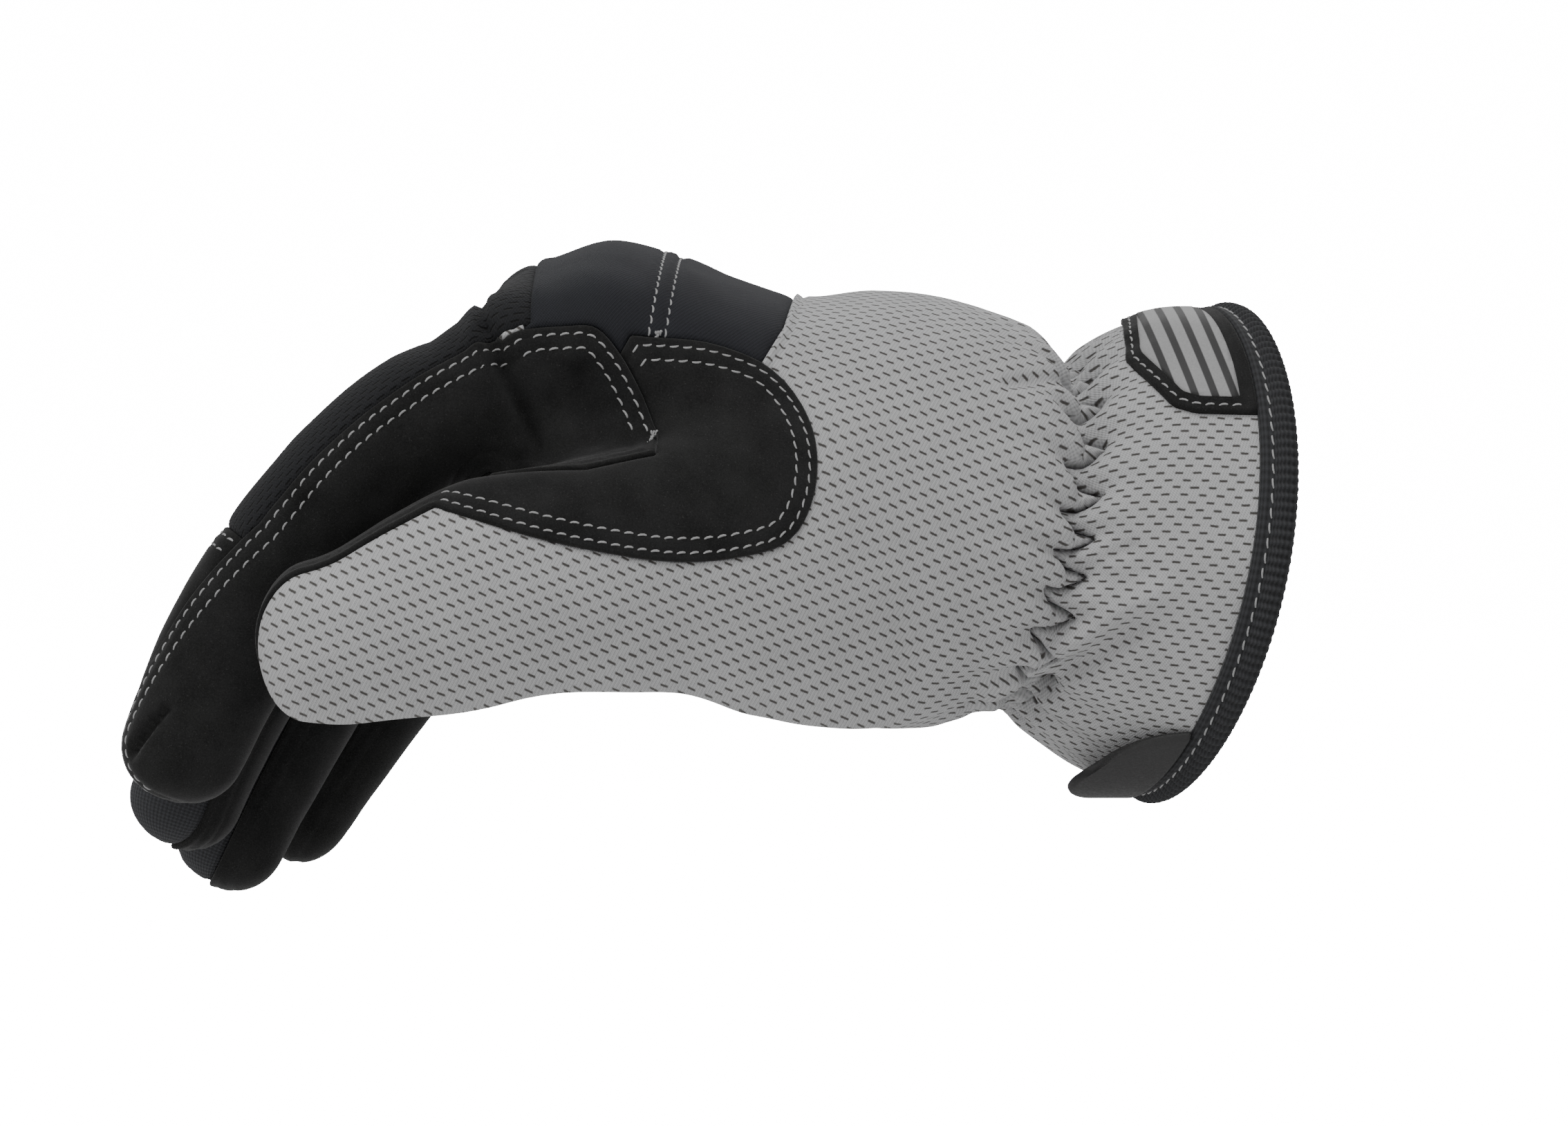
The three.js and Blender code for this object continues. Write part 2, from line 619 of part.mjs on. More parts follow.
// The front of the thumb: from its top seam over the far side to the seam under it, in degrees round the thumb.
const thumbFrontTop = 62;
const thumbFrontUnder = 232;
const thumbFrontStart = 0.4;
const thumbClear = 1.28; // the region's size against the thumb's own
const pastThumb = 2; // it ends this far beyond the tip
function thumbFrontRegion(grow) {
  const turn = THREE.MathUtils.radToDeg(grow / thumbWidth) * 2;
  const angles = [0, 0.33, 0.66, 1].map((t) =>
    THREE.MathUtils.lerp(thumbFrontTop - turn, thumbFrontUnder + turn, t),
  );
  const rings = [];
  for (let k = 0; k <= fingerSlices; k++) {
    const at = THREE.MathUtils.lerp(thumbFrontStart - grow / thumbReach, 1 + pastThumb / thumbReach, k / fingerSlices);
    const near = Math.min(at, 1);
    const centre = roundThumb(near, 0, 0, 0).setX(thumbRootX - at * thumbReach);
    const halfWidth = (lookUp(thumbRows, near, "width") * thumbWidth * thumbClear) / 2;
    const halfDepth = (lookUp(thumbRows, near, "depth") * thumbDepth * thumbClear) / 2;
    rings.push([
      centre,
      ...angles.map((angle) => roundThumb(near, radians(angle), halfWidth, halfDepth).setX(centre.x)),
    ]);
  }
  return solid(loft(rings));
}

function thumbRegion(grow) {
  return saddleRegion(grow).add(thumbFrontRegion(grow));
}

// The panel over the knuckles, seen from the thumb side.
function knuckleRegion(grow) {
  const back = knuckleFront + knuckleLength;
  const outline = [
    [knuckleFront - 1, farOut],
    [knuckleFront - 1, 0],
    [back - knuckleSkew * webTop, 0],
    [back, webTop],
    [back + knuckleSkew * webTop * 0.5, webTop * 2],
    [back + knuckleSkew * webTop * 0.5, farOut],
  ];
  return prism(outline, grow, [-handWidth * knuckleNear, farOut], seenFromSide);
}

const capStart = 1 - capShare;

// Tape folded over the rim: a channel swept round it, inside and out.
function cuffBinding() {
  const outer = trimGap;
  const inner = -knitWall - trimGap;
  const rim = cuffSection(cuffRows[0]);
  const edge = cuffSection(cuffRows[1]);
  const profile = [
    { section: edge, offset: outer, past: 0 },
    { section: edge, offset: outer + bindingWall, past: 0 },
    { section: rim, offset: outer + bindingWall, past: trimGap + bindingWall / 2 },
    { section: rim, offset: (outer + inner) / 2, past: trimGap + bindingWall },
    { section: rim, offset: inner - bindingWall, past: trimGap + bindingWall / 2 },
    { section: edge, offset: inner - bindingWall, past: 0 },
    { section: edge, offset: inner, past: 0 },
    { section: rim, offset: inner, past: trimGap / 2 },
    { section: rim, offset: outer, past: trimGap / 2 },
  ];
  const rings = profile.map(({ section, offset, past }) => shifted(bodyRing(section, offset, ringPoints), past));
  const points = rings.flat();
  const faces = [];
  rings.forEach((_, k) => {
    const [a, b] = [k * ringPoints, ((k + 1) % rings.length) * ringPoints];
    for (let i = 0; i < ringPoints; i++) {
      const j = (i + 1) % ringPoints;
      faces.push(a + i, a + j, b + i, a + j, b + j, b + i);
    }
  });
  return solid(new THREE.BufferGeometry().setFromPoints(points).setIndex(faces));
}

// The patch on the back of the wrist. Its lower edge is seen from the side, with both corners cut off.
const patchRows = [
  { along: 0.0, up: 1.0 },
  { along: 0.0, up: 0.0 },
  { along: 0.55, up: 0.02 },
  { along: 0.7, up: 0.08 },
  { along: 1.0, up: 0.52 },
  { along: 1.0, up: 1.0 },
];
function labelPatch() {
  const foot = wristTop * patchFoot;
  const outline = patchRows.map((row) => [
    patchStart - row.along * patchLength,
    foot + row.up * patchHeight + (row.up === 1 ? cuffDepth / 4 : 0),
  ]);
  const layer = bodySkin(trimGap + patchWall).subtract(bodySkin(trimGap));
  const tapeRings = [shifted(bodyRing(cuffSection(cuffRows[1]), cuffLength / 4, ringPoints), -trimGap)];
  tapeRings.push(shifted(tapeRings[0], cuffLength));
  const uncut = layer.intersect(prism(outline, 0, [-farOut, patchFarEdge], seenFromSide));
  return uncut.subtract(solid(loft(tapeRings)));
}

// A closed sheet between an outer and an inner surface, both given over across from -1 to 1 and along from 0 to 1.
function sheetBetween(outer, inner, across, along) {
  const grid = (surface) => {
    const points = [];
    for (let j = 0; j <= along; j++) {
      for (let i = 0; i <= across; i++) points.push(surface((2 * i) / across - 1, j / along));
    }
    return points;
  };
  const points = [...grid(outer), ...grid(inner)];
  const row = across + 1;
  const layer = row * (along + 1);
  const faces = [];
  for (let j = 0; j < along; j++) {
    for (let i = 0; i < across; i++) {
      const a = j * row + i;
      faces.push(a, a + 1, a + row, a + 1, a + row + 1, a + row);
      faces.push(layer + a, layer + a + row, layer + a + 1, layer + a + 1, layer + a + row, layer + a + row + 1);
    }
  }
  const rim = [];
  for (let i = 0; i < across; i++) rim.push(i);
  for (let j = 0; j < along; j++) rim.push(j * row + across);
  for (let i = across; i > 0; i--) rim.push(along * row + i);
  for (let j = along; j > 0; j--) rim.push(j * row);
  rim.forEach((a, k) => {
    const b = rim[(k + 1) % rim.length];
    faces.push(a, layer + a, b, b, layer + a, layer + b);
  });
  return solid(new THREE.BufferGeometry().setFromPoints(points).setIndex(faces));
}

// The tab at the heel of the cuff lies along the arm and stands off the narrowing cuff.
function pullTab() {
  const rim = cuffSection(cuffRows[1]);
  const surface = (offset) => (across, along) => {
    const spread = radians(tabSpread) * Math.sqrt(1 - tabNarrowing * along ** 2);
    const angle = -Math.PI / 2 + spread * across + radians(tabTurn);
    const halfWidth = (rim.far - rim.near) / 2 + offset;
    const halfDepth = (rim.top - rim.bottom) / 2 + offset;
    const y = (rim.far + rim.near) / 2 - halfWidth * Math.cos(angle);
    const z = (rim.top + rim.bottom) / 2 + halfDepth * Math.sin(angle);
    const start = rim.x + rim.lean * z - rim.swing * y - trimGap - rim.bow * ((2 * z) / cuffDepth) ** 2;
    return new THREE.Vector3(THREE.MathUtils.lerp(start, tabTip + tabRound * across ** 2, along), y, z);
  };
  return sheetBetween(surface(trimGap + tabWall), surface(trimGap), 8, 3);
}

function materialOf(color, roughness) {
  return new THREE.MeshStandardMaterial({ color, roughness, metalness: 0 });
}

const materials = {
  greyKnit: materialOf(0xb4b6b8, 0.9),
  darkKnit: materialOf(0x26272e, 0.9),
  suede: materialOf(0x1c1c1e, 0.95),
  rib: materialOf(0x3a3b40, 0.9),
  tape: materialOf(0x34353a, 0.85),
  rubber: materialOf(0x2a2b2e, 0.6),
};

const glove = new THREE.Group();

// Panels are cut in this order, and each keeps clear of all those before it.
let taken;
function cut(name, shell, region, material) {
  const whole = shell.intersect(region(0));
  glove.add(panel(name, taken ? whole.subtract(taken) : whole, material));
  const grown = region(seamGap);
  taken = taken ? taken.add(grown) : grown;
}

cut("palm_panel", suedeShell, palmRegion, materials.suede);
cut("thumb_panel", suedeShell, thumbRegion, materials.suede);
fingers.forEach((finger) => {
  const region = (grow) => fingerBackRegion(finger, capStart, fingerEnd, grow);
  cut("fingertip_cap_" + finger.name, suedeShell, region, materials.suede);
});
fingers.forEach((finger) => {
  const region = (grow) => fingerBackRegion(finger, fingerStart, capStart, grow).intersect(beforeKnuckles(grow));
  cut("finger_back_" + finger.name, knitShell, region, materials.darkKnit);
});
[[0, 1], [1, 2], [2, 3]].forEach(([a, b]) => {
  const region = (grow) => stripRegion(fingers[a], fingers[b], grow);
  cut("fourchette_" + fingers[a].name + "_" + fingers[b].name, knitShell, region, materials.rib);
});
cut("knuckle_panel", knitShell, knuckleRegion, materials.darkKnit);
glove.add(panel("grey_knit_body", knitShell.subtract(taken), materials.greyKnit));
glove.add(panel("cuff_binding", cuffBinding(), materials.tape));
glove.add(panel("label_patch", labelPatch(), materials.suede));
glove.add(panel("pull_tab", pullTab(), materials.rubber));

export default glove;
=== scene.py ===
import math

import bpy
import numpy as np
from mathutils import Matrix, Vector
from mathutils.kdtree import KDTree


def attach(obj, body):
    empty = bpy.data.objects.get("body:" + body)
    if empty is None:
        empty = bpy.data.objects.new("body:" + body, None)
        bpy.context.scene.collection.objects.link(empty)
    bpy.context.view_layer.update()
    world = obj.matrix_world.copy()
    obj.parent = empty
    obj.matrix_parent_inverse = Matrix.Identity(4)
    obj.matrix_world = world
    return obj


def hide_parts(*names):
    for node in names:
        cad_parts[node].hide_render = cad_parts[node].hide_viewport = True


# Mechanic glove for the right hand. Lengths in this script are millimetres in the part's own frame, and a
# mesh is turned into metres when it is made. One smooth skin is built from the part's own sizes, cut along
# the panel seams, and each panel gets its thickness, its turned edges, its stitches and its fabric.
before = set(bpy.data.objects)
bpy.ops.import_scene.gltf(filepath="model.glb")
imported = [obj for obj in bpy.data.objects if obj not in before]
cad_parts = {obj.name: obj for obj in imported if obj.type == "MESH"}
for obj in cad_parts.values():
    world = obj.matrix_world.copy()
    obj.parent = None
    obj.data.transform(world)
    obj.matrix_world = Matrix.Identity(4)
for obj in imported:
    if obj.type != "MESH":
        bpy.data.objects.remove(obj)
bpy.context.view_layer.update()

MM = 0.001

# Sizes that the solids were made from
KNIT_WALL = 1.6
SUEDE_RAISE = 0.6
CUFF_LENGTH = 33.5
CUFF_DEPTH = 83.5
CUFF_WIDTH = 64.5
RIM_LEAN = 0.155
RIM_BOW = 2.8
RIM_SWING = 0.34
WRIST_DEPTH = 60.5
WRIST_WIDTH = 56
WRIST_LEAN = 0.19
WRIST_SWING = 0.24
HAND_LENGTH = 83
HAND_DEPTH = 76
HAND_WIDTH = 93
FINGER_SPACING = 23
FINGER_TIP = 8.5
THUMB_REACH = 124
THUMB_DEPTH = 37.5
THUMB_WIDTH = 30
THUMB_TIP = 8
TRIM_GAP = 0.35
BINDING_WALL = 1.1
BINDING_SHARE = 0.22
PATCH_LENGTH = 25.5
PATCH_HEIGHT = 18
PATCH_WALL = 1.1
PATCH_START = 9
PATCH_FAR_EDGE = 6
TAB_TIP = -26.5
TAB_SPREAD = 27
TAB_WALL = 1.8
TAB_TURN = 15
KNUCKLE_LENGTH = 43
KNUCKLE_FRONT = -119
KNUCKLE_SKEW = 0.6
SADDLE_LENGTH = 66
SADDLE_HEIGHT = 38.5
SADDLE_END = -70
SADDLE_TOP = 37
WEB_LENGTH = 28
WEB_HEIGHT = 20
WEB_TOP = 38.5
WEB_BACK = -97.5
CAP_SHARE = 0.37  # a fingertip cap, as a share of its finger
PALM_SIDE = 0.37  # shares of HAND_WIDTH, on the thumb side
SADDLE_INNER = 0.29
PANEL_NEAR = 0.62
PALM_FRONT = 1.03  # share of HAND_LENGTH
PALM_TOP = 0.65  # share of SADDLE_TOP
PATCH_FOOT = 0.75  # share of WRIST_TOP
KNUCKLE_TOP_SKEW = 0.5  # share of KNUCKLE_SKEW above the web

WRIST_X = -CUFF_LENGTH
RIM_X = -(TRIM_GAP + BINDING_WALL)
WRIST_TOP = WRIST_DEPTH * 0.52
WRIST_BOTTOM = WRIST_TOP - WRIST_DEPTH
THUMB_ROOT_X = WRIST_X - HAND_LENGTH * 0.08
FAR_OUT = 120

# Sizes that only the picture needs
CELL = 1.0  # spacing of the grid that the skin is drawn from
BLEND_BODY = 5.0  # how softly the fingers grow out of the hand
BLEND_THUMB = 9.0
EDGE_ROUND = 0.5  # radius of a cut suede edge
OUTER_ROW = 1.5  # stitches in from the edge
INNER_ROW = 3.9
STITCH_PITCH = 2.3
STITCH_LENGTH = 1.9
STITCH_RADIUS = 0.2
# radius of the dark tube that paints the shadow in the drawn-in crease
CREASE_SHADOW_RADIUS = 0.24
WEB_MIDDLE = (-110.0, -36.0, 15.0)  # the cloth between the thumb and the index finger
WEB_SIZE = (19.0, 11.0, 14.0)
TAPE_WIDTH = 6.3  # as it is seen, from the rim
RIB_PITCH = 1.55
GRID_LOW = (-236.0, -82.0, -66.0)
GRID_HIGH = (14.0, 58.0, 62.0)
SLOPE_STEP = 0.15  # the field's slope is taken over this distance to either side
SNAP = 0.03  # points this near to a cut line are taken as on it
SECTION_COUNT = 800
FINGER_STEPS = 60
FINGER_SQUARE = 2.2  # above 2 a section is boxier than an ellipse
THUMB_SQUARE = 2.15
THUMB_START = 6  # length over which the thumb's root is rounded


def table(columns, *rows):
    return {name: np.array(values, float) for name, values in zip(columns.split(), zip(*rows))}


CUFF_ROWS = table(
    "at flare_top flare_bottom flare_side",
    (0.0, 1.0, 1.0, 1.0),
    (BINDING_SHARE, 1.03, 0.88, 1.04),
    (0.46, 1.0, 0.66, 0.98),
    (0.66, 0.82, 0.42, 0.76),
    (0.86, 0.46, 0.2, 0.4),
    (1.0, 0.0, 0.0, 0.0),
)
HAND_ROWS = table(
    "at top bottom near far droop lean square",
    (0.035, 0.455, 0.378, 0.33, 0.315, 0, 1, 2),
    (0.09, 0.52, 0.392, 0.362, 0.345, 0, 0.85, 2.1),
    (0.2, 0.582, 0.395, 0.4, 0.39, 0, 0.45, 2.2),
    (0.34, 0.606, 0.33, 0.43, 0.43, 0.03, 0.15, 2.3),
    (0.475, 0.592, 0.2, 0.455, 0.465, 0.06, 0, 2.4),
    (0.61, 0.632, 0.07, 0.47, 0.49, 0.1, 0, 2.4),
    (0.76, 0.7, -0.07, 0.485, 0.5, 0.14, 0, 2.5),
    (0.87, 0.728, -0.16, 0.49, 0.5, 0.17, 0, 2.5),
    (0.97, 0.7, -0.22, 0.485, 0.49, 0.19, 0, 2.5),
    (1.06, 0.64, -0.27, 0.45, 0.455, 0.19, 0, 2.5),
    (1.11, 0.56, -0.34, 0.41, 0.41, 0.18, 0, 2.5),
)
FINGER_ROWS = table(
    "at width depth",
    (0.0, 0.92, 0.94),
    (0.15, 0.98, 0.98),
    (0.24, 1.0, 1.06),
    (0.32, 1.0, 1.0),
    (0.5, 1.0, 1.0),
    (0.68, 0.96, 0.96),
    (0.82, 0.92, 0.9),
    (1.0, 0.84, 0.78),
)
THUMB_ROWS = table(
    "at side height width depth",
    (0.0, 0.1, 0.0, 0.75, 0.85),
    (0.04, 0.15, -0.02, 1.05, 1.12),
    (0.12, 0.2, -0.035, 1.45, 1.42),
    (0.22, 0.285, -0.02, 1.62, 1.52),
    (0.33, 0.375, -0.018, 1.55, 1.4),
    (0.425, 0.445, -0.02, 1.36, 1.2),
    (0.5, 0.51, -0.042, 1.18, 1.08),
    (0.6, 0.575, -0.06, 1.0, 1.02),
    (0.72, 0.625, -0.098, 0.88, 1.02),
    (0.82, 0.648, -0.145, 0.84, 0.9),
    (0.9, 0.655, -0.19, 0.82, 0.76),
    (1.0, 0.655, -0.205, 0.72, 0.62),
)
FINGERS = [
    dict(name="index", length=121, width=21.6, depth=24, root=(0.79, -1.5, 0.505), splay=-2.5,
         pitches=(15, 26, 47, 62, 70), near=-34, far=30),
    dict(name="middle", length=127.5, width=21.6, depth=23.5, root=(0.8, -0.5, 0.51), splay=-0.5,
         pitches=(18, 32, 49, 64, 72), near=30, far=30),
    dict(name="ring", length=124, width=21.4, depth=22.5, root=(0.8, 0.5, 0.46), splay=1,
         pitches=(26, 40, 53, 62, 66), near=4, far=30),
    dict(name="little", length=106, width=20, depth=20, root=(0.79, 1.46, 0.345), splay=2.5,
         pitches=(33, 44, 52, 56, 60), near=4, far=-34),
]
BACK_SEAM = 33
FINGER_START = 0.06
INDEX_PALM_START = 0.2

SADDLE_ROWS = [(0.48, 1.0), (0.28, 0.96), (0.11, 0.83), (0.02, 0.6), (0.01, 0.32), (0.07, 0.1), (0.2, 0.02),
               (0.38, 0.0), (0.6, 0.06), (0.8, 0.15), (1.0, 0.26)]
WEB_ROWS = [(1.0, 0.8), (0.8, 0.96), (0.55, 1.0), (0.37, 0.99), (0.22, 0.76), (0.1, 0.45), (0.0, 0.1)]
PALM_ROWS = [(0.12, 0.06), (0.24, 0.0), (0.42, -0.12), (0.62, -0.24), (0.76, -0.33), (0.86, -0.37)]
ULNAR_ROWS = [(0.12, -0.1), (0.3, -0.02), (0.7, 0.12), (1.12, 0.28)]
WEB_FOOT = [(-97.5, 16.5), (-110, 14), (-125.5, 11)]  # its seam with the top of the thumb
PATCH_ROWS = [(0.0, 1.0), (0.0, 0.0), (0.55, 0.02), (0.7, 0.08), (1.0, 0.52), (1.0, 1.0)]


def look_up(rows, at, column):
    """One column of a table at given places, on a smooth curve through its rows."""
    place, value = rows["at"], rows[column]
    last = len(place) - 1
    slopes = np.array([
        (value[min(k + 1, last)] - value[max(k - 1, 0)]) / (place[min(k + 1, last)] - place[max(k - 1, 0)])
        for k in range(last + 1)
    ])
    i = np.clip(np.searchsorted(place, at) - 1, 0, last - 1)
    span = place[i + 1] - place[i]
    t = np.clip((at - place[i]) / span, 0, 1)
    return (
        (2 * t**3 - 3 * t**2 + 1) * value[i]
        + (t**3 - 2 * t**2 + t) * span * slopes[i]
        + (3 * t**2 - 2 * t**3) * value[i + 1]
        + (t**3 - t**2) * span * slopes[i + 1]
    )


def smooth_line(points, count):
    """Evenly spread points on a smooth open curve through a few given ones."""
    points = np.array(points, float)
    chords = np.linalg.norm(np.diff(points, axis=0), axis=1)
    at = np.concatenate([[0], np.cumsum(np.sqrt(chords))])
    dense = np.linspace(0, at[-1], count * 8 + 1)
    columns = [look_up({"at": at, "v": points[:, k]}, dense, "v") for k in range(points.shape[1])]
    return resampled(np.stack(columns, axis=1), count)


def resampled(line, count):
    lengths = np.concatenate([[0], np.cumsum(np.linalg.norm(np.diff(line, axis=0), axis=1))])
    at = np.linspace(0, lengths[-1], count + 1)
    return np.stack([np.interp(at, lengths, line[:, k]) for k in range(line.shape[1])], axis=1)


def mix(a, b, t):
    return a + (b - a) * t


def smooth_step(low, high, value):
    t = np.clip((value - low) / (high - low), 0, 1)
    return t * t * (3 - 2 * t)


def soft_min(a, b, reach):
    h = np.clip(0.5 + 0.5 * (b - a) / reach, 0, 1)
    return mix(b, a, h) - reach * h * (1 - h)


# The hand's sections, as columns over the place along the arm
def body_columns():
    at, hand = CUFF_ROWS["at"], HAND_ROWS["at"]
    oval = np.full_like(at, 2)
    cuff_side = mix(WRIST_WIDTH, CUFF_WIDTH, CUFF_ROWS["flare_side"]) / 2
    rows = {
        "x": np.concatenate([RIM_X - at * (CUFF_LENGTH + RIM_X), WRIST_X - hand * HAND_LENGTH]),
        "top": np.concatenate([
            mix(WRIST_TOP, CUFF_DEPTH / 2, CUFF_ROWS["flare_top"]),
            HAND_ROWS["top"] * HAND_DEPTH,
        ]),
        "bottom": np.concatenate([
            mix(WRIST_BOTTOM, -CUFF_DEPTH / 2, CUFF_ROWS["flare_bottom"]),
            -HAND_ROWS["bottom"] * HAND_DEPTH,
        ]),
        "near": np.concatenate([-cuff_side, -HAND_ROWS["near"] * HAND_WIDTH]),
        "far": np.concatenate([cuff_side, HAND_ROWS["far"] * HAND_WIDTH]),
        "lean": np.concatenate([mix(RIM_LEAN, WRIST_LEAN, at), HAND_ROWS["lean"] * WRIST_LEAN]),
        "swing": np.concatenate([mix(RIM_SWING, WRIST_SWING, at), HAND_ROWS["lean"] * WRIST_SWING]),
        "droop": np.concatenate([0 * at, HAND_ROWS["droop"] * HAND_DEPTH]),
        "square": np.concatenate([oval, HAND_ROWS["square"]]),
        "bow": np.concatenate([RIM_BOW * (1 - at), 0 * hand]),
    }
    rows["at"] = -rows.pop("x")
    places = np.linspace(rows["at"][0], rows["at"][-1], SECTION_COUNT)
    return {name: look_up(rows, places, name)[::-1] for name in rows if name != "at"} | {"x": -places[::-1]}


BODY = body_columns()


def body_value(place, name):
    return np.interp(place, BODY["x"], BODY[name])


def body_place(x, y, z):
    """Where along the arm a point's leaning section cuts it."""
    place = x
    for _ in range(4):
        bow = body_value(place, "bow") * (2 * z / CUFF_DEPTH) ** 2
        place = x - body_value(place, "lean") * z + body_value(place, "swing") * y + bow
    return place


def body_round(x, y, z):
    """Place along the arm, offsets from the section's middle, its half sizes and its squareness."""
    place = body_place(x, y, z)
    top, bottom = body_value(place, "top"), body_value(place, "bottom")
    near, far = body_value(place, "near"), body_value(place, "far")
    half_width, half_depth = (far - near) / 2, (top - bottom) / 2
    across = np.clip((y / half_width + 0.3) / 1.3, 0, 1)
    dy = y - (far + near) / 2
    dz = z + body_value(place, "droop") * across**2 - (top + bottom) / 2
    return place, dy, dz, half_width, half_depth, body_value(place, "square")


def outside(r, q, least):
    """Distance outside a shape whose surface is met at share 1 / q of the way out to radius r."""
    return np.where(q > 1e-4, r - r / np.maximum(q, 1e-4), -least)


def body_field(x, y, z):
    place, dy, dz, half_width, half_depth, square = body_round(x, y, z)
    q = (np.abs(dy / half_width) ** square + np.abs(dz / half_depth) ** square) ** (1 / square)
    side = outside(np.hypot(dy, dz), q, half_depth)
    end = BODY["x"][0] - place
    return -soft_min(-side, -end, 8)


def finger_path(finger):
    bends = {"at": np.linspace(0, 1, len(finger["pitches"])), "pitch": np.array(finger["pitches"], float)}
    at = np.linspace(0, 1, FINGER_STEPS + 1)
    pitch = np.radians(look_up(bends, at, "pitch"))
    forward = np.stack([-np.cos(pitch), -np.sin(pitch)], axis=1)
    root = finger["root"]
    start = np.array([WRIST_X - root[0] * HAND_LENGTH, root[2] * HAND_DEPTH])
    walk = np.vstack([[0, 0], np.cumsum(forward[:-1] * finger["length"] / FINGER_STEPS, axis=0)])
    return {
        "along": at * finger["length"],
        "xz": start + walk,
        "forward": forward,
        "y": root[1] * FINGER_SPACING + at * finger["splay"],
    }


for finger in FINGERS:
    finger["path"] = finger_path(finger)


def round_finger(finger, x, y, z):
    """A point's place along a finger, and its offsets across it and towards its back."""
    x, z = np.broadcast_arrays(x, z)
    path = finger["path"]
    gap = (x[..., None] - path["xz"][:, 0]) ** 2 + (z[..., None] - path["xz"][:, 1]) ** 2
    k = gap.argmin(-1)
    step = path["along"][1]
    reach = (x - path["xz"][k, 0]) * path["forward"][k, 0] + (z - path["xz"][k, 1]) * path["forward"][k, 1]
    low = np.where(k == 0, -99, -step)
    high = np.where(k == len(path["along"]) - 1, 99, step)
    along = path["along"][k] + np.clip(reach, low, high)
    inside = np.clip(along, 0, finger["length"])
    ahead = np.stack([np.interp(inside, path["along"], path["forward"][:, i]) for i in (0, 1)])
    centre = [np.interp(inside, path["along"], path["xz"][:, i]) for i in (0, 1)]
    up = (x - centre[0]) * ahead[1] - (z - centre[1]) * ahead[0]
    across = y - np.interp(inside, path["along"], path["y"])
    return along, across, up


def finger_field(finger, x, y, z):
    along, across, up = round_finger(finger, x, y, z)
    at = np.clip(along / finger["length"], 0, 1)
    half_width = look_up(FINGER_ROWS, at, "width") * finger["width"] / 2
    half_depth = look_up(FINGER_ROWS, at, "depth") * finger["depth"] / 2
    past = np.maximum(along - (finger["length"] - FINGER_TIP), 0) + np.maximum(FINGER_TIP - along, 0)
    shares = (np.abs(across) / half_width, np.abs(up) / half_depth, past / FINGER_TIP)
    q = sum(share**FINGER_SQUARE for share in shares) ** (1 / FINGER_SQUARE)
    return outside(np.sqrt(across**2 + up**2 + past**2), q, half_depth)


def round_thumb(x, y, z):
    """Place along the thumb, offsets across it and up, and its half sizes there."""
    at = (THUMB_ROOT_X - x) / THUMB_REACH
    near = np.clip(at, 0, 1)
    across = y + look_up(THUMB_ROWS, near, "side") * HAND_WIDTH
    up = z - look_up(THUMB_ROWS, near, "height") * HAND_DEPTH
    half_width = look_up(THUMB_ROWS, near, "width") * THUMB_WIDTH / 2
    half_depth = look_up(THUMB_ROWS, near, "depth") * THUMB_DEPTH / 2
    return at, across, up, half_width, half_depth


def thumb_field(x, y, z):
    at, across, up, half_width, half_depth = round_thumb(x, y, z)
    past = np.maximum(at * THUMB_REACH - (THUMB_REACH - THUMB_TIP), 0)
    before = np.maximum(THUMB_START - at * THUMB_REACH, 0)
    shares = (np.abs(across) / half_width, np.abs(up) / half_depth, past / THUMB_TIP, before / THUMB_START)
    q = sum(share**THUMB_SQUARE for share in shares) ** (1 / THUMB_SQUARE)
    return outside(np.sqrt(across**2 + up**2 + past**2 + before**2), q, half_depth)


def web_field(x, y, z):
    offsets = [x - WEB_MIDDLE[0], y - WEB_MIDDLE[1], z - WEB_MIDDLE[2]]
    q = np.sqrt(sum((offset / size) ** 2 for offset, size in zip(offsets, WEB_SIZE)))
    return outside(np.sqrt(sum(offset**2 for offset in offsets)), q, WEB_SIZE[1])


def glove_field(x, y, z):
    """Roughly the distance of points outside the glove's skin."""
    hand = soft_min(body_field(x, y, z), thumb_field(x, y, z), BLEND_THUMB)
    hand = soft_min(hand, web_field(x, y, z), BLEND_BODY)
    digits = None
    for finger in FINGERS:
        one = finger_field(finger, x, y, z)
        digits = one if digits is None else soft_min(digits, one, 0.8)
    return soft_min(hand, digits, BLEND_BODY)


